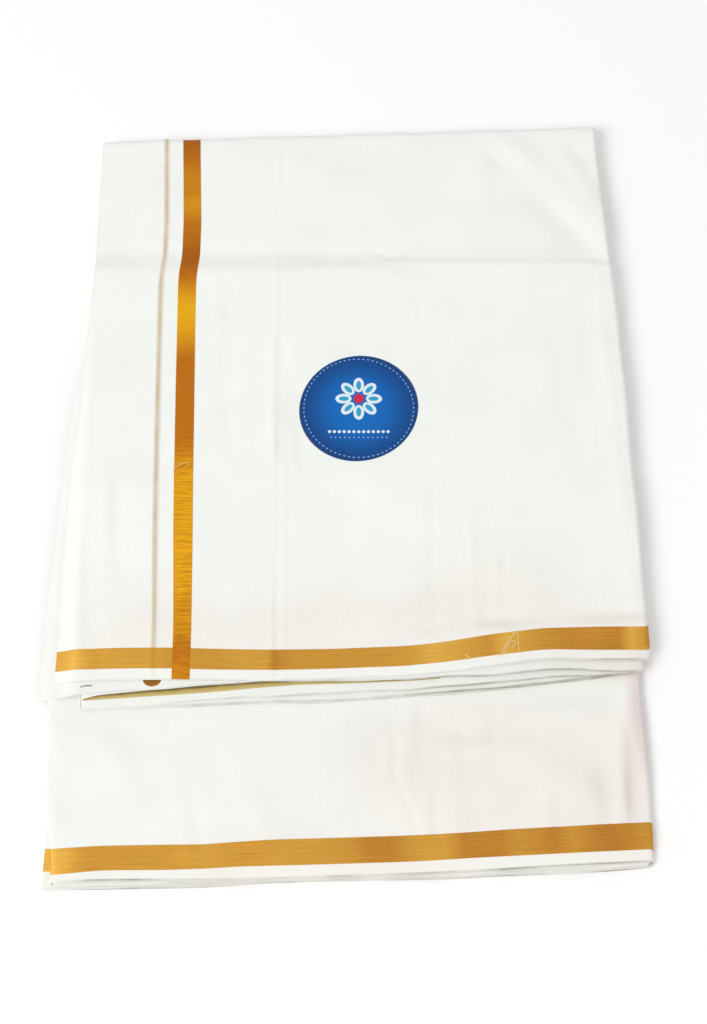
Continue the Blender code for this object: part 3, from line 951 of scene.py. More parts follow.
# %% [markdown]
# ## The flap's cloth
#
# The flap's face is layer 1. At the right it turns round the whole stack and comes back as layer 8, the one
# that lies on the back half, and at the left layer 8 turns again. All of that is one sheet here, with the
# top fold at its far end. Its lines lie closest where the creases are, at the slumped edge and in the folds.

# %% The flap's outer cloth
FACE_SHARES = stations((0, 0.09, 20), (0.09, 0.33, 28), (0.33, 0.42, 26), (0.42, 0.62, 22), (0.62, 0.80, 28),
                       (0.80, 0.96, 20), (0.96, 1.0, 6))
FLAP_RUNS = stations((0, 0.004, 2), (0.004, 0.10, 26), (0.10, 0.70, 62), (0.70, 0.79, 24), (0.79, 1.0, 28))
FOLD_RUNS = stations((1.0, 2.0, 16))[1:]

flap_cloth = make_sheet(
    "flap_cloth",
    flat_lines(1, FACE_SHARES) + fold_lines("right", 1, 8, 14)
    + flat_lines(8, stations((1.0, 0.0, 30))) + fold_lines("left", 5, 8, 7, inwards=False),
    FLAP_RUNS + FOLD_RUNS, cotton)

# %% [markdown]
# ## The back half's cloth
#
# Past the top fold, layer 1 is the packet's underside and layer 8 is its upper face, which shows below the
# flap's hem. They are one sheet again, from the cut end at the left, round the right side fold, and back to
# the left fold. Only the stretch that shows needs close lines, so the hidden stretch has wide ones.

# %% The back half's outer cloth
BACK_SHARES = stations((1.0, 0.93, 16), (0.93, 0.05, 120), (0.05, 0.0, 6))
BACK_RUNS = stations((2.0, 2.74, 24), (2.74, 2.996, 76), (2.996, 3.0, 2))
back_cloth = make_sheet(
    "back_cloth",
    flat_lines(1, stations((0, 0.05, 6), (0.05, 1.0, 36))) + fold_lines("right", 1, 8, 14)
    + flat_lines(8, BACK_SHARES)
    + fold_lines("left", 5, 8, 8, inwards=False),
    BACK_RUNS, back_cotton)

# %% [markdown]
# ## The layers between
#
# The rest of the chain, layers 5, 4, 3, 6, 7 and 2, is the third sheet. It shows only as edges: the hems
# under the flap's hem, the folds at both sides, and the second cut end, which reaches past the first one
# at the left. It is still one sheet, 2.85 m long, because its folds are what the edges really are.

# %% The inner cloth
COARSE = stations((0, 0.03, 3), (0.03, 0.97, 44), (0.97, 1.0, 3))
SECOND = stations((0, 0.13, 24), (0.13, 0.97, 38), (0.97, 1.0, 3))
inner_lines = (
    flat_lines(5, COARSE) + fold_lines("right", 4, 5, 4, inwards=False)
    + flat_lines(4, COARSE[::-1]) + fold_lines("left", 3, 4, 4, inwards=False)
    + flat_lines(3, COARSE) + fold_lines("right", 3, 6, 7)
    + flat_lines(6, COARSE[::-1]) + fold_lines("left", 6, 7, 4)
    + flat_lines(7, COARSE) + fold_lines("right", 2, 7, 8, inwards=False)
    + flat_lines(2, SECOND[::-1])
)
inner_runs = stations((0, 0.004, 1), (0.004, 0.06, 6), (0.06, 0.70, 30), (0.70, 0.79, 12), (0.79, 1.0, 10),
                      (1.0, 2.0, 10), (2.0, 2.74, 18), (2.74, 2.97, 14), (2.97, 3.0, 6))
inner_cloth = make_sheet("inner_cloth", inner_lines, inner_runs, inner_cotton_in_shade)

# %% [markdown]
# ## The woven gold
#
# Zari is a metal thread woven in with the cotton. The selvedge borders are a smooth satin of it: fine lines
# run along them, lighter and darker by turns, and the lower edge has a dark line where the satin ends. The
# light and shade that the satin catches along each border, where the cloth tips towards the lamp and away
# from it, is painted into its colour from a table.

# %% Border gold
# tones of the satin, from painted highlight to painted shade
BORDER_BRIGHT = screen(236, 182, 76)
BORDER_GOLD = screen(222, 165, 62)
BORDER_MIDDLE = screen(214, 155, 56)
BORDER_LOW = screen(208, 145, 50)
BORDER_DEEP = screen(203, 138, 48)
BORDER_DARK = screen(198, 130, 44)
# where the border turns down round the right side fold: painted shade
BORDER_FOLD_SHADE = screen(150, 84, 26)
# painted light and shade of the flap's border, as the cloth tips towards the lamp and away from it
FLAP_BORDER_LIGHT_AND_SHADE = (  # where across the packet, in mm, and the tone there
    (-240, BORDER_GOLD), (-220, BORDER_BRIGHT), (-208, BORDER_GOLD), (-160, BORDER_GOLD),
    (-146, BORDER_MIDDLE), (-104, BORDER_MIDDLE), (-88, BORDER_GOLD), (-64, BORDER_GOLD),
    (-58, BORDER_DEEP), (-44, BORDER_MIDDLE), (30, BORDER_MIDDLE), (56, BORDER_GOLD),
    (74, BORDER_BRIGHT), (104, BORDER_GOLD), (120, BORDER_MIDDLE), (134, BORDER_BRIGHT),
    (150, BORDER_GOLD), (165, BORDER_MIDDLE), (182, BORDER_LOW), (214, BORDER_LOW),
    (228, BORDER_DEEP), (238, BORDER_BRIGHT), (248, BORDER_GOLD), (254, BORDER_DEEP),
)
# painted light and shade of the back half's border
BACK_BORDER_LIGHT_AND_SHADE = (
    (-240, BORDER_BRIGHT), (-226, BORDER_BRIGHT), (-206, BORDER_MIDDLE), (-168, BORDER_MIDDLE),
    (-144, BORDER_MIDDLE), (-112, BORDER_GOLD), (-80, BORDER_MIDDLE), (-66, BORDER_MIDDLE),
    (-50, BORDER_GOLD), (5, BORDER_MIDDLE), (20, BORDER_DEEP), (36, BORDER_DEEP),
    (50, BORDER_MIDDLE), (66, BORDER_GOLD), (80, BORDER_GOLD), (94, BORDER_DEEP),
    (124, BORDER_DEEP), (138, BORDER_MIDDLE), (166, BORDER_DEEP), (182, BORDER_MIDDLE),
    (198, BORDER_DEEP), (214, BORDER_DARK), (240, BORDER_MIDDLE), (247, BORDER_MIDDLE),
    (252, BORDER_FOLD_SHADE),
)


def light_and_shade_ramp(tree, solid, axis, tones, drift):
    """Painted light and shade along one axis of the packet, with boundaries that drift a little."""
    moved = maths(tree, "MULTIPLY_ADD", soft_noise(tree, solid, 70.0, 4.0), drift, axis_of(tree, solid, axis))
    first, last = tones[0][0], tones[-1][0]
    spot = spread(tree, moved, first * MM + drift / 2, last * MM + drift / 2, 0.0, 1.0)
    return ramp(tree, spot, [((place - first) / (last - first), colour) for place, colour in tones])


def make_border_gold(name, tones):
    """Satin of gold thread with lines along it, a fine grain, and its light and shade painted along it."""
    material, tree = new_finish(name, Roughness=0.45, Metallic=0.5, Specular_IOR_Level=0.35)
    uv, solid = coordinates(tree)
    streak = stretched_noise(tree, uv, (22, 1500, 1), detail=3.0)
    grain = stretched_noise(tree, uv, (700, 1300, 1))
    lines = spread(tree, streak, 0.32, 0.68, 0.86, 1.10)
    specks = spread(tree, grain, 0.3, 0.7, 0.90, 1.08)
    shaded = times(tree, light_and_shade_ramp(tree, solid, 0, tones, 0.010), maths(tree, "MULTIPLY", lines, specks))
    ribs = bands(tree, uv, "Y", 0.9 * MM)
    return finish_with(material, shaded, (ribs, 0.35, 0.12 * MM), (grain, 0.4, 0.12 * MM))


flap_gold = make_border_gold("flap border zari", FLAP_BORDER_LIGHT_AND_SHADE)
back_gold = make_border_gold("back border zari", BACK_BORDER_LIGHT_AND_SHADE)
print("border tones:", len(FLAP_BORDER_LIGHT_AND_SHADE), "on the flap,", len(BACK_BORDER_LIGHT_AND_SHADE), "on the back half")

# %% [markdown]
# ## Laying the borders
#
# A border is a strip of the same lines as the cloth, between two runs, lifted just clear of the cotton and
# a fifth of a millimetre thick. Its runs come from its distance to the hem. On the flap it stops at either
# side of the crosswise band, and at the right it goes on round the side fold, as the cloth does.

# %% Borders on the flap
GOLD = 0.20 * MM
GOLD_LIFT = CLOTH / 2 + 0.10 * MM
EDGE_COLUMNS = ("x", "low", "high")
FLAP_BORDER_EDGES = (  # how far the border's two edges lie from the hem, in mm
    (-238, 10.3, 27.0), (-205, 9.6, 27.0), (-150, 9.6, 27.0), (-110, 9.0, 26.4), (-60, 8.9, 26.0),
    (-10, 8.7, 25.3), (70, 8.6, 25.2), (110, 8.8, 26.4), (150, 8.4, 26.4), (180, 8.6, 27.2),
    (210, 8.6, 28.3), (254, 8.4, 28.3),
)
BAND_COLUMNS = ("run", "middle", "wide")
BAND_TABLE = (
    (0.00, -133.4, 14.8), (0.07, -133.7, 14.9), (0.24, -137.2, 16.4), (0.34, -139.4, 16.7),
    (0.52, -142.4, 16.6), (0.68, -145.0, 16.6), (0.72, -145.6, 16.6), (0.76, -143.0, 16.6),
    (0.83, -143.2, 16.6), (1.00, -148.0, 16.6), (2.00, -149.0, 16.6), (3.00, -152.0, 16.6),
)
band_x = reader(BAND_COLUMNS, BAND_TABLE, soft=0.03)


def two_edges(rows, soft):
    """The lower and the upper edge of a strip, as functions of x in metres."""
    table = reader(EDGE_COLUMNS, rows, soft)
    return (lambda x: table("low", x / MM)), (lambda x: table("high", x / MM))


flap_low, flap_high = two_edges(FLAP_BORDER_EDGES, 12)


def strip_runs(lines, low, high, steps, half="flap"):
    """For each line the runs that lie from low to high above its hem; both are functions of x."""
    on_flap = half == "flap"
    rows = []
    for line in lines:
        x = line["x"](np.array(0.03 if on_flap else 2.97))
        hem = mixed_hem(flap_hem if on_flap else back_hem, line["first"], line["second"], line["mix"], x)
        distance = low(x) + (high(x) - low(x)) * np.linspace(0, 1, steps + 1)
        share = distance / (fold_start(x) - hem)
        rows.append(share if on_flap else 3 - share)
    return np.array(rows)


def between(layer, left, right, shares, lift=GOLD_LIFT):
    """Lines on a layer between two x positions that vary along the run."""
    return [
        line_at(layer, lambda run, share=share: left(run) + (right(run) - left(run)) * share, lift)
        for share in shares]


def face_left(run):
    return left_x(1, run)


def face_stop(run):
    return stop_x(1, run)


def band_left(run):
    return band_x("middle", run) - band_x("wide", run) / 2


def band_right(run):
    return band_x("middle", run) + band_x("wide", run) / 2


left_lines = between(1, face_left, band_left, stations((0, 1, 44)))
right_lines = between(1, band_right, face_stop, stations((0, 1, 120)))
right_lines += fold_lines("right", 1, 8, 14, lift=GOLD_LIFT)[:9]
border_left = make_sheet(
    "woven_border_left", left_lines, strip_runs(left_lines, flap_low, flap_high, 9), flap_gold, GOLD)
border_right = make_sheet(
    "woven_border_right", right_lines, strip_runs(right_lines, flap_low, flap_high, 9), flap_gold, GOLD)

# %% [markdown]
# ## The border of the back half
#
# Here the border lies on layer 8, round the right side fold, and on along the underside, which is layer 1.
# Where the left fold has crept in, a stub of another layer's border shows beside it.

# %% Borders of the back half
BACK_BORDER_EDGES = (
    (-230, 6.1, 26.2), (-205, 6.8, 26.2), (-190, 7.8, 26.6), (-140, 7.8, 27.1), (-110, 8.7, 27.3),
    (-80, 9.7, 28.8), (-50, 9.7, 29.7), (64, 9.6, 29.7), (100, 10.2, 30.0), (130, 10.2, 30.6),
    (170, 9.6, 30.2), (245, 9.6, 30.6),
)
STUB_EDGES = (14.5 * MM, 32 * MM)
STUB_UNDER = 5 * MM
back_low, back_high = two_edges(BACK_BORDER_EDGES, 12)

back_lines = fold_lines("left", 5, 8, 8, lift=GOLD_LIFT)[3:]
back_lines += flat_lines(8, BACK_SHARES[::-1], GOLD_LIFT)
back_lines += fold_lines("right", 1, 8, 14, inwards=False, lift=GOLD_LIFT)
back_lines += between(1, face_stop, face_left, stations((0, 1, 30)))
border_back = make_sheet(
    "woven_border_back", back_lines, strip_runs(back_lines, back_low, back_high, 10, "back"), back_gold, GOLD)
stub_lines = between(
    4, lambda run: side_x("hidden_left", run) + 0.3 * MM, lambda run: left_x(8, run) + STUB_UNDER,
    stations((0, 1, 6)), -GOLD_LIFT)
stub_runs = strip_runs(stub_lines, lambda x: STUB_EDGES[0], lambda x: STUB_EDGES[1], 6, "back")
border_stub = make_sheet("woven_border_stub", stub_lines, stub_runs, back_gold, GOLD)
print("the back border is", round(float(back_high(0.0) - back_low(0.0)) / MM, 1), "mm wide at the middle")

# %% [markdown]
# ## Gold that peeps out
#
# The third layer's hem hangs a little lower than the second's at the left, so its border shows there as
# a long wedge. It is a patch laid on that layer between two edges. Its colours are painted in shade, duller
# than the lit border, with painted shadow close under the hem above it.

# %% The wedge of the third layer's border
SLIVER = (  # x, and the y of its lower and upper edge, in mm
    (-213, -212.2, -211.0), (-201, -211.4, -207.6), (-174, -209.6, -205.0), (-139, -207.4, -202.0),
    (-101, -204.6, -198.4), (-68, -201.6, -196.4), (-35, -199.0, -195.2), (0, -198.1, -195.0),
    (30, -197.0, -195.0), (63, -195.2, -194.0), (80, -193.8, -192.8),
)
HEM_SHADE = screen(128, 110, 64)
PATCH_LIFT = 0.2 * MM
sliver_low, sliver_high = two_edges(SLIVER, 4)


def make_shaded_gold(name, upper, lower):
    """Zari in a hem's shade: its colours painted in shade, with painted shadow at the top, where the hem hangs
    over it.
    """
    material, tree = new_finish(name, Roughness=0.5, Metallic=0.35, Specular_IOR_Level=0.3)
    uv = coordinates(tree)[0]
    streak = stretched_noise(tree, uv, (90, 5, 1), detail=4.0)
    moved = maths(tree, "MULTIPLY_ADD", streak, 0.5, axis_of(tree, uv, 1))
    tone = ramp(tree, moved, [(0.35, lower), (0.85, upper), (1.0, HEM_SHADE)])
    return finish_with(material, tone, (streak, 0.3, 0.1 * MM))


def make_patch(name, xs, low, high, rows, layer, material):
    """A patch of gold on a flap layer, between two y positions that vary with x, both in metres."""
    depth = depth_of(layer) - GOLD_LIFT - PATCH_LIFT
    points, faces = [], []
    for x in xs:
        ys = low(x) + (high(x) - low(x)) * np.linspace(0, 1, rows + 1)
        z = flap_height(np.full(rows + 1, x), ys, depth, layer)
        points += (np.stack([np.full(rows + 1, x), ys, z], axis=-1) - PACKET_MIDDLE).tolist()
    for column in range(len(xs) - 1):
        for row in range(rows):
            corner = column * (rows + 1) + row
            faces.append((corner, corner + rows + 1, corner + rows + 2, corner + 1))
    mesh = bpy.data.meshes.new(name)
    mesh.from_pydata(points, [], faces)
    uv = mesh.uv_layers.new(name="cloth")
    for loop in mesh.loops:
        row = loop.vertex_index % (rows + 1)
        uv.data[loop.index].uv = (points[loop.vertex_index][0], row / rows)
    return shade(give_wall(new_piece(name, mesh, material), GOLD))


# zari in the hem's shade: painted shade, duller than the lit border, darkest at the top
border_sliver = make_patch(
    "woven_border_sliver", np.linspace(-213, 80, 90) * MM, sliver_low, sliver_high, 3, 3,
    make_shaded_gold("zari below a hem", screen(182, 156, 88), screen(208, 186, 122)))
print("the wedge is", round((SLIVER[-1][0] - SLIVER[0][0]) * MM, 3), "m long")

# %% [markdown]
# ## The crosswise band
#
# The band across the cloth's end is woven with the gold thread as weft, so it shines in a different way:
# deep copper where the cloth tips away from the window, and bright gold where it faces it. That light and
# shade is painted into its colour here. Lower down the weft threads lie looser and show as fine bars.

# %% Band gold and its colour along the band
COPPER = screen(181, 101, 9)
BROWN = screen(203, 120, 8)
AMBER = screen(216, 140, 10)
OCHRE = screen(228, 156, 12)
GOLDEN = screen(244, 176, 14)
YELLOW = screen(248, 187, 14)
BAR_DARK = (0.72, 0.62, 0.45, 1)
BAR_LIGHT = (1.12, 1.12, 1.08, 1)
BARS_UP_TO = 35 * MM
# painted light and shade along the band: copper where the cloth tips away, gold where it faces the light
BAND_LIGHT_AND_SHADE = (  # where along the packet, in mm, and the tone there
    (-205, OCHRE), (-170, BROWN), (-156, OCHRE), (-136, OCHRE), (-110, GOLDEN), (-40, GOLDEN),
    (-18, GOLDEN), (2, OCHRE), (20, BROWN), (104, BROWN), (121, OCHRE), (134, GOLDEN), (152, YELLOW),
    (163, GOLDEN), (174, OCHRE), (186, BROWN), (204, COPPER), (216, COPPER), (238, BROWN), (246, BROWN),
    (254, AMBER), (268, OCHRE), (280, AMBER), (300, AMBER), (318, BROWN), (338, COPPER), (350, COPPER),
)


def make_band_gold(name):
    """Gold woven as weft: painted light and shade along it, and bars across it where it lies loose."""
    material, tree = new_finish(name, Roughness=0.42, Metallic=0.5, Specular_IOR_Level=0.35)
    uv, solid = coordinates(tree)
    bars = stretched_noise(tree, uv, (45, 860, 1), detail=4.0, rough=0.6)
    fine = stretched_noise(tree, uv, (120, 1900, 1))
    bar_shade = mix_colours(tree, spread(tree, bars, 0.36, 0.60, 0.0, 1.0), BAR_DARK, BAR_LIGHT)
    smooth = spread(tree, axis_of(tree, solid, 1), BARS_UP_TO - 30 * MM, BARS_UP_TO, 1.0, 0.14)
    barred = mix_colours(tree, smooth, (1, 1, 1, 1), bar_shade)
    shades = times(tree, barred, spread(tree, fine, 0.3, 0.7, 0.88, 1.08))
    colour = times(tree, light_and_shade_ramp(tree, solid, 1, BAND_LIGHT_AND_SHADE, 0.008), shades)
    weft = bands(tree, uv, "Y", 0.8 * MM)
    return finish_with(material, colour, (bars, 0.5, 0.25 * MM), (weft, 0.3, 0.1 * MM))


band_gold = make_band_gold("end band zari")

# %% [markdown]
# ## Laying the band and the line
#
# The band follows the cloth over the flap, round the top fold and on down the underside. Beside it runs a
# thin line of tan threads. It crosses the border too, where it shows as a slightly yellower strip, and in
# the margin it is only a faint trace.

# %% The band and the line
LINE = 6.0 * MM
LINE_TO_BAND = 24.3 * MM
LINE_DRIFT = 1.2 * MM
BAND_SHARES = stations((0, 1, 8))
BAND_PLACE = -0.14
flap_length = fold_start(BAND_PLACE) - flap_hem(1, BAND_PLACE)
border_end = float(flap_high(BAND_PLACE) / flap_length)
border_start = float(flap_low(BAND_PLACE) / flap_length)
long_runs = [run for run in FLAP_RUNS if run > border_end + 0.004] + FOLD_RUNS
under_runs = stations((2.0, 3 - (1 - 0.9985), 40))[1:]
band_start = stations((0.0008, border_end, 14))
woven_band = make_sheet(
    "woven_band", between(1, band_left, band_right, BAND_SHARES, GOLD_LIFT + 0.02 * MM),
    band_start + long_runs + under_runs, band_gold, GOLD)


def line_middle(run):
    """The line keeps its distance to the band, and comes a little closer towards the hem."""
    return band_x("middle", run) - LINE_TO_BAND + LINE_DRIFT * np.exp(-np.asarray(run) / 0.25)


def line_left(run):
    return line_middle(run) - LINE / 2


def line_right(run):
    return line_middle(run) + LINE / 2


def make_tan(name, tint, strength):
    """Tan threads, fading into the white cotton at both sides of the line."""
    material, tree = new_finish(name, Roughness=0.8, Specular_IOR_Level=0.25)
    uv = coordinates(tree)[0]
    threads = stretched_noise(tree, uv, (1500, 60, 1))
    along = stretched_noise(tree, uv, (10, 40, 1), detail=3.0)
    body = spread(tree, along, 0.25, 0.75, 0.6 * strength, strength)
    fade = spread(tree, maths(tree, "PINGPONG", axis_of(tree, uv, 0), LINE / 2), 0.0, 2.2 * MM, 0.0, 1.0)
    colour = mix_colours(tree, maths(tree, "MULTIPLY", body, fade), COOL_WHITE, tint)
    colour = mix_colours(tree, threads, colour, mix_colours(tree, 0.3, colour, tint))
    return finish_with(material, colour, (threads, 0.3, 0.15 * MM))


tan_thread = make_tan("tan thread", screen(205, 183, 152), 1.0)
faint_tan = make_tan("faint tan thread", screen(230, 212, 170), 0.28)
woven_line = make_sheet(
    "woven_line", between(1, line_left, line_right, stations((0, 1, 6))),
    [border_end] + long_runs + under_runs[:-2], tan_thread, GOLD * 0.7)
line_in_margin = make_sheet(
    "woven_line_margin", between(1, line_left, line_right, stations((0, 1, 6))),
    stations((0.001, border_start, 4)), faint_tan, GOLD * 0.7)

# %% [markdown]
# ## Where they cross, and the band below
#
# On the border the line's threads pass over the gold and lighten it. Under the flap's hem the second layer's
# own band peeps out as a small lens of gold, painted darker than the lit band as painted shade, and darkest at
# the top where the hem shades it.

# %% The line on the border and the second layer's band
CROSSING_INSET = 1.2 * MM
crossing_gold, crossing_tree = new_finish(
    "zari under tan thread", Roughness=0.5, Metallic=0.45, Specular_IOR_Level=0.4)
crossing_streak = stretched_noise(crossing_tree, coordinates(crossing_tree)[0], (1500, 60, 1))
crossing_tone = mix_colours(crossing_tree, crossing_streak, screen(216, 166, 56), screen(190, 136, 34))
finish_with(crossing_gold, crossing_tone)
crossing_lines = between(
    1, lambda run: line_left(run) + CROSSING_INSET, lambda run: line_right(run) - CROSSING_INSET,
    stations((0, 1, 4)), GOLD_LIFT + 0.03 * MM)
line_crossing = make_sheet(
    "woven_line_crossing", crossing_lines, stations((border_start, border_end, 6)), crossing_gold, GOLD)

TIP_MIDDLE = -157 * MM
TIP_HALF = 7.6 * MM
TIP_DROP = 5.2 * MM


def tip_low(x):
    """The lens's lower edge: furthest down at its middle."""
    bulge = 1 - ((x - TIP_MIDDLE) / TIP_HALF) ** 2
    return float(flap_hem(1, np.array(x))) - TIP_DROP * max(bulge, 0) ** 0.6 - 0.05 * MM


# the band's zari in the hem's shade: painted shade, darker than the lit band
band_tip = make_patch(
    "woven_band_tip", TIP_MIDDLE + np.linspace(-1, 1, 15) * TIP_HALF, tip_low,
    lambda x: float(flap_hem(1, np.array(x))) + 2 * MM, 4, 2,
    make_shaded_gold("band zari below a hem", screen(140, 86, 20), screen(170, 108, 36)))
print("line lies", round(LINE_TO_BAND / MM, 1), "mm to the left of the band's middle")

# %% [markdown]
# ## A paper label
#
# The label is a disc of coated paper, deep blue, a little darker towards its rim, and not cut quite round.
# It lies on the cloth and takes its swells, so the disc is made of rings of points and each point is set on
# the cloth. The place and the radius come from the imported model.

# %% The label's disc
label_low, label_high = (np.array(corner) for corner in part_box("label"))
LABEL_CENTRE = (label_low + label_high)[:2] / 2
LABEL_RADIUS = float(label_high[0] - label_low[0]) / 2
PAPER = 0.25 * MM
LABEL_RINGS = 18
LABEL_UNEVEN = 0.022
LABEL_SIDES = 96
LABEL_BLUES = (
    (0.0, screen(8, 110, 192)), (0.45, screen(8, 101, 182)), (0.82, screen(10, 74, 142)),
    (0.93, screen(14, 66, 130)), (0.98, screen(22, 62, 118)), (1.0, screen(44, 74, 124)),
)


def on_face(points, lift):
    """Points that lie a lift above the flap's face, over their own x and y."""
    points = np.array(points, float)
    x, y = points[:, 0] + PACKET_MIDDLE[0], points[:, 1] + PACKET_MIDDLE[1]
    surface = flap_height(x, y, depth_of(1), 1) + CLOTH / 2 + 0.05 * MM
    return np.stack([points[:, 0], points[:, 1], surface + lift + points[:, 2]], axis=-1)


def make_paper():
    """Coated paper, its blue set by the distance from the label's middle."""
    material, tree = new_finish(
        "coated blue paper", Roughness=0.5, Coat_Weight=0.04, Coat_Roughness=0.3, Specular_IOR_Level=0.2)
    solid = coordinates(tree)[1]
    centred = add_node(tree, "ShaderNodeMapping", Vector=solid, Location=(*-LABEL_CENTRE, 0)).outputs[0]
    length = vectors(tree, "LENGTH", vectors(tree, "MULTIPLY", centred, (1, 1, 0)), output="Value")
    blue = ramp(tree, maths(tree, "DIVIDE", length, LABEL_RADIUS), LABEL_BLUES)
    return finish_with(material, blue, (soft_noise(tree, solid, 2500.0), 0.08, 0.05 * MM))


def make_label():
    """Rings of points round the middle, set on the cloth and given a wall."""
    points = [(*LABEL_CENTRE, 0)]
    faces = []
    for ring in range(1, LABEL_RINGS + 1):
        first = 1 + (ring - 1) * LABEL_SIDES
        for side in range(LABEL_SIDES):
            angle = 2 * math.pi * side / LABEL_SIDES
            uneven = 1 + LABEL_UNEVEN * (math.cos(2 * angle - 1.3) - 0.4)
            radius = LABEL_RADIUS * ring / LABEL_RINGS * uneven
            points.append((*(LABEL_CENTRE + radius * np.array((math.cos(angle), math.sin(angle)))), 0))
            here, following = first + side, first + (side + 1) % LABEL_SIDES
            if ring == 1:
                faces.append((0, here, following))
            else:
                faces.append((here - LABEL_SIDES, here, following, following - LABEL_SIDES))
    mesh = bpy.data.meshes.new("label_disc")
    mesh.from_pydata(on_face(points, PAPER / 2).tolist(), [], faces)
    return shade(give_wall(new_piece("label_disc", mesh, make_paper()), PAPER))


label_disc = make_label()
print("label: radius", round(LABEL_RADIUS / MM, 1), "mm")

# %% [markdown]
# ## The label's print, with Geometry Nodes
#
# The print is a dashed ring, a rosette of eight petals and two rows of dots: plain ornament with no letters.
# All of them are one shape repeated, which is what Geometry Nodes are for. The tree takes a few points, puts
# a flat disc on each, stretches it to a length and a width, and turns its length away from the middle. The
# sizes are named inputs. The tree ends by making the instances real and giving them their ink.

# %% Tree: a shape repeated
def new_tree(name, **inputs):
    """An empty tree with named inputs: the tree, its input sockets and their identifiers."""
    tree = bpy.data.node_groups.new(name, "GeometryNodeTree")
    identifiers = {}
    for label, kind in inputs.items():
        item = tree.interface.new_socket(name=label, in_out="INPUT", socket_type="NodeSocket" + kind)
        identifiers[label] = item.identifier
    tree.interface.new_socket(name="Geometry", in_out="OUTPUT", socket_type="NodeSocketGeometry")
    return tree, tree.nodes.new("NodeGroupInput").outputs, identifiers


def end_tree(tree, geometry, material):
    """Makes the instances real, gives them their material and links them to the output."""
    real = add_node(tree, "GeometryNodeRealizeInstances", Geometry=geometry)
    finished = add_node(tree, "GeometryNodeSetMaterial", Geometry=real.outputs[0], Material=material)
    tree.links.new(finished.outputs[0], tree.nodes.new("NodeGroupOutput").inputs[0])


def make_print_tree():
    """A disc on each point, as long away from the middle and as wide as asked."""
    tree, given, names = new_tree(
        "printed shapes", Geometry="Geometry", Length="Float", Width="Float", Sides="Int", Ink="Material")
    shape = add_node(tree, "GeometryNodeMeshCircle", {"fill_type": "TRIANGLE_FAN"},
                     Vertices=given["Sides"], Radius=0.5)
    stretch = add_node(tree, "ShaderNodeCombineXYZ", X=given["Length"], Y=given["Width"], Z=1.0)
    sized = add_node(tree, "GeometryNodeTransform", Geometry=shape.outputs[0], Scale=stretch.outputs[0])
    place = add_node(tree, "GeometryNodeInputPosition")
    turn = add_node(tree, "FunctionNodeAlignRotationToVector", {"axis": "X", "pivot_axis": "Z"},
                    Vector=place.outputs[0])
    copies = add_node(tree, "GeometryNodeInstanceOnPoints", Points=given["Geometry"],
                      Instance=sized.outputs[0], Rotation=turn.outputs[0])
    end_tree(tree, copies.outputs[0], given["Ink"])
    return tree, names


def grow(name, mesh, grower, values):
    """The plain mesh that a tree makes from a mesh with these input values."""
    tree, names = grower
    piece = bpy.data.objects.new(name, mesh)
    bpy.context.scene.collection.objects.link(piece)
    growth = piece.modifiers.new(tree.name, "NODES")
    growth.node_group = tree
    for key, value in values.items():
        growth[names[key]] = value
    piece.update_tag()
    bpy.context.view_layer.update()
    return plain_mesh(piece)


# %% [markdown]
# ## Printing the label
#
# The ring of dashes lies near the rim. The rosette sits a little above the middle: white petals with pale
# blue ones on them, round a small red heart. Two rows of dots lie below it. The points are made round the
# middle of the print, and the shapes then move to their place, are set on the paper and get a thin wall.

# %% Dashes, petals, heart and dots
INK_LIFT = PAPER + 0.05 * MM
INK = 0.05 * MM
DASH_RING = 0.92
ROSETTE_UP = 9.0 * MM
print_tree = make_print_tree()


def ring_of(count, radius):
    """Points round the middle of the print."""
    turns = [2 * math.pi * index / count for index in range(count)]
    return [(radius * math.cos(turn), radius * math.sin(turn), 0) for turn in turns]


def row_of(count, step, up):
    """Points in a row, that far above the middle of the print."""
    return [((index - (count - 1) / 2) * step, up, 0) for index in range(count)]


def flat_ink(name, colour):
    """Ink with a little of the paper's blue showing through it."""
    material, tree = new_finish(name, Roughness=0.55, Specular_IOR_Level=0.2)
    speck = soft_noise(tree, coordinates(tree)[1], 1800.0)
    bluer = mix_colours(tree, speck, colour, mix_colours(tree, 0.12, colour, screen(30, 90, 170)))
    return finish_with(material, bluer, (speck, 0.06, 0.03 * MM))


def print_shapes(name, points, length, width, sides, ink, up=0.0, over=0):
    """Shapes on points, moved to the label and laid on its paper, over that many other inks."""
    start = bpy.data.meshes.new(name)
    start.from_pydata(points, [], [])
    piece = grow(name, start, print_tree, {"Length": length, "Width": width, "Sides": sides, "Ink": ink})
    mesh = piece.data
    places = np.empty(len(mesh.vertices) * 3)
    mesh.vertices.foreach_get("co", places)
    places = places.reshape(-1, 3) + np.array((LABEL_CENTRE[0], LABEL_CENTRE[1] + up, 0))
    mesh.vertices.foreach_set("co", on_face(places, INK_LIFT + over * 1.2 * INK).ravel())
    mesh.materials.clear()
    mesh.materials.append(ink)
    return give_wall(piece, INK)


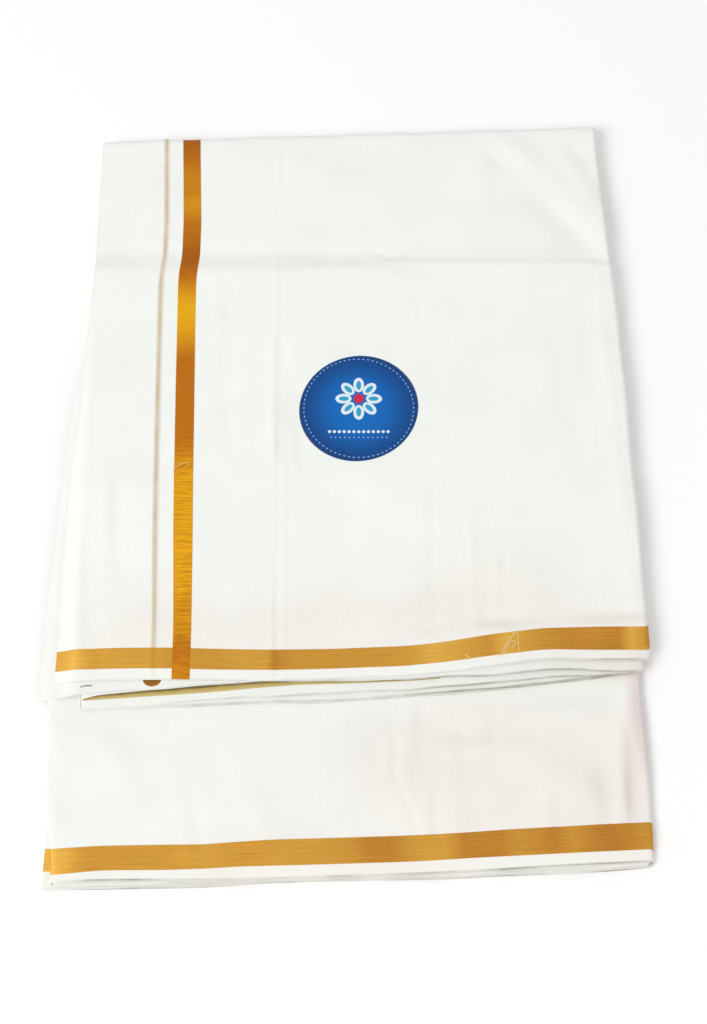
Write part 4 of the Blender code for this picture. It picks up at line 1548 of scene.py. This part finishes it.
white_ink = flat_ink("white ink", screen(228, 240, 248))
dash_ink = flat_ink("light blue ink", screen(130, 178, 236))
sky_ink = flat_ink("pale blue ink", screen(52, 164, 200))
red_ink = flat_ink("red ink", screen(214, 34, 62))
label_print = [
    print_shapes("label_dashes", ring_of(72, LABEL_RADIUS * DASH_RING), 1.1 * MM, 2.3 * MM, 8, dash_ink),
    print_shapes("label_petals", ring_of(8, 13.6 * MM), 14.4 * MM, 9.6 * MM, 28, white_ink, ROSETTE_UP),
    print_shapes("label_inner_petals", ring_of(8, 13.2 * MM), 9.0 * MM, 4.4 * MM, 20, sky_ink, ROSETTE_UP, 1),
    print_shapes("label_heart", [(0, 0, 0)], 9.0 * MM, 9.0 * MM, 32, red_ink, ROSETTE_UP, 1),
    print_shapes("label_dots", row_of(13, 4.3 * MM, -23.5 * MM), 2.9 * MM, 2.9 * MM, 14, white_ink),
    print_shapes("label_small_dots", row_of(13, 4.1 * MM, -29.0 * MM), 1.5 * MM, 1.5 * MM, 10, dash_ink),
]
print("printed:", {piece.name: len(piece.data.polygons) for piece in label_print})

# %% [markdown]
# ## Loose threads
#
# Hand folding leaves a few threads on the cloth: a curl of pale thread on the band, two that cross on the
# border at the right and a short one beside them, and a dark tacking stitch at the corner of the second
# layer. Each is a curve through a few listed points, with a round bevel of about half a millimetre.

# %% Threads that lie on the cloth
def make_thread(name, routes, colour, radius, layer=1):
    """Threads through listed points: x and y in mm, and the lift over the cloth in mm."""
    material, tree = new_finish(name.replace("_", " "), Roughness=0.6, Specular_IOR_Level=0.3)
    twist = soft_noise(tree, coordinates(tree)[1], 900.0)
    darker = mix_colours(tree, 0.35, colour, screen(150, 110, 50))
    finish_with(material, mix_colours(tree, twist, colour, darker))
    curve = bpy.data.curves.new(name, "CURVE")
    curve.dimensions = "3D"
    curve.bevel_depth = radius
    curve.bevel_resolution = 2
    curve.resolution_u = 6
    curve.use_fill_caps = True
    for route in routes:
        spline = curve.splines.new("BEZIER")
        spline.bezier_points.add(len(route) - 1)
        x, y, lift = (np.array(values) * MM for values in zip(*route))
        z = flap_height(x, y, depth_of(layer), layer) + CLOTH / 2 + radius + lift
        for knot, place in zip(spline.bezier_points, np.stack([x, y, z], axis=-1) - PACKET_MIDDLE):
            knot.co = place
            knot.handle_left_type = knot.handle_right_type = "AUTO"
    piece = bpy.data.objects.new(name, curve)
    bpy.context.scene.collection.objects.link(piece)
    mesh = bpy.data.meshes.new_from_object(piece.evaluated_get(bpy.context.evaluated_depsgraph_get()))
    bpy.data.objects.remove(piece)
    made = new_piece(name, mesh, material)
    made.data.shade_smooth()
    return made


band_curl = make_thread("thread_on_band", (
    ((-148.5, -9, 0.3), (-145, -5, 0.5), (-141, -2.5, 0.6), (-137, -1.5, 0.5), (-135.5, -4, 0.6),
     (-138, -6, 0.9)),
), screen(250, 216, 140), 0.34 * MM)
border_threads = make_thread("threads_on_border", (
    ((130, -176, 0.3), (134, -168, 0.4), (138, -162, 0.5), (143.5, -156.5, 0.6), (145, -164, 0.4),
     (145.6, -171, 0.2)),
    ((133, -173, 0.3), (136, -167, 0.5), (142, -163, 0.5), (140, -169, 0.3)),
    ((101, -174.6, 0.2), (103.5, -176.5, 0.3), (105, -178, 0.2), (102, -178.5, 0.2)),
), screen(255, 240, 190), 0.30 * MM)
tack = make_thread("tacking_stitch", (
    ((-215.5, -201.2, 0.1), (-212, -200.2, 0.3), (-206.5, -200.0, 0.1)),
), screen(46, 42, 34), 0.28 * MM, layer=2)
print("threads:", [piece.name for piece in (band_curl, border_threads, tack)])

# %% [markdown]
# ## Frayed cut ends, with Geometry Nodes
#
# The cloth was cut, not hemmed, at its two ends, so the last threads have come loose along both left edges.
# The tree takes the edge as a line, puts points along it at the thread spacing, and stands a short thread on
# each, with a random length and a random turn from a fixed seed, so the fray is the same every time.

# %% Tree: a fringe along an edge
def make_fringe_tree():
    """A short bent thread at each step along an edge."""
    tree, given, names = new_tree(
        "frayed edge", Geometry="Geometry", Spacing="Float", Shortest="Float", Longest="Float",
        Radius="Float", Turn="Float", Seed="Int", Thread="Material")
    edge = add_node(tree, "GeometryNodeMeshToCurve", Mesh=given["Geometry"])
    points = add_node(tree, "GeometryNodeResampleCurve", {"mode": "LENGTH"},
                      Curve=edge.outputs[0], Length=given["Spacing"])
    stem = add_node(tree, "GeometryNodeCurvePrimitiveBezierSegment", Resolution=4, Start=(0.1, 0, 0),
                    Start_Handle=(-0.3, 0, 0.02), End_Handle=(-0.7, 0.25, -0.03), End=(-1.0, 0.1, -0.12))
    length = add_node(tree, "FunctionNodeRandomValue", {"data_type": "FLOAT"},
                      at_2=given["Shortest"], at_3=given["Longest"], Seed=given["Seed"])
    back = maths(tree, "MULTIPLY", given["Turn"], -1.0)
    angle = add_node(tree, "FunctionNodeRandomValue", {"data_type": "FLOAT"},
                     at_2=back, at_3=given["Turn"], Seed=given["Seed"])
    turn = add_node(tree, "ShaderNodeCombineXYZ", Z=angle.outputs[1])
    copies = add_node(tree, "GeometryNodeInstanceOnPoints", Points=points.outputs[0],
                      Instance=stem.outputs[0], Rotation=turn.outputs[0], Scale=length.outputs[1])
    real = add_node(tree, "GeometryNodeRealizeInstances", Geometry=copies.outputs[0])
    circle = add_node(tree, "GeometryNodeCurvePrimitiveCircle", Resolution=4, Radius=given["Radius"])
    tube = add_node(tree, "GeometryNodeCurveToMesh", Curve=real.outputs[0], at_1=circle.outputs[0])
    tube.inputs["Fill Caps"].default_value = True
    end_tree(tree, tube.outputs[0], given["Thread"])
    return tree, names


def cut_edge(layer, runs):
    """The cut end of a layer, as a line of points in space."""
    runs = np.asarray(runs, float)
    points = lay(left_x(layer, runs), runs, depth_of(layer), layer)
    mesh = bpy.data.meshes.new("cut edge")
    mesh.from_pydata(points.tolist(), [(index, index + 1) for index in range(len(points) - 1)], [])
    return mesh


# %% [markdown]
# ## Growing the fray
#
# The first end frays all along the flap, and so does the second, a little longer, because it reaches out
# past the first and has been handled more.

# %% Fringes
fringe_tree = make_fringe_tree()
FRAY = {
    "Spacing": 1.9 * MM, "Shortest": 0.5 * MM, "Longest": 1.8 * MM, "Radius": 0.055 * MM, "Turn": 0.6,
    "Thread": inner_cotton_in_shade,
}
first_fray = grow(
    "fray_first_end", cut_edge(1, stations((0.003, 0.97, 90))), fringe_tree, FRAY | {"Seed": 3})
second_fray = grow(
    "fray_second_end", cut_edge(2, stations((0.003, 0.6, 60))), fringe_tree,
    FRAY | {"Seed": 8, "Longest": 2.3 * MM})
print("fray:", len(first_fray.data.polygons) + len(second_fray.data.polygons), "faces")

# %% [markdown]
# ## What each piece is
#
# The last step puts every piece on the only body. The pieces are grouped by their finish in a table of
# slots, and each sheet is listed with the solids of the imported model that it stands for; those solids are
# hidden.

# %% Bodies, slots and solids
BODY = list(frame["bodies"])[0]
SLOTS = {
    "white_cotton": (flap_cloth, back_cloth, inner_cloth, first_fray, second_fray),
    "border_zari": (border_left, border_right, border_back, border_stub, border_sliver, line_crossing),
    "end_zari": (woven_band, band_tip, band_curl, border_threads),
    "tan_thread": (woven_line, line_in_margin, tack),
    "label_paper": (label_disc, *label_print),
}
STANDS_FOR = (
    (flap_cloth, ("front_panel", "flap_inner_layer")),
    (back_cloth, ("underside_panel", "back_panel")),
    (inner_cloth, ("hidden_layers", "second_layer")),
    (border_left, ("flap_border_left",)),
    (border_right, ("flap_border_right",)),
    (border_back, ("back_border",)),
    (border_stub, ("under_layer_border",)),
    (border_sliver, ("third_layer_border",)),
    (woven_band, ("end_band",)),
    (woven_line, ("end_line",)),
    (band_tip, ("second_layer_band",)),
    (label_disc, ("label",)),
)
for slot, pieces in SLOTS.items():
    for piece in pieces:
        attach(piece, BODY)
for piece, nodes in STANDS_FOR:
    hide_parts(*nodes)
print("pieces:", sum(len(pieces) for pieces in SLOTS.values()))
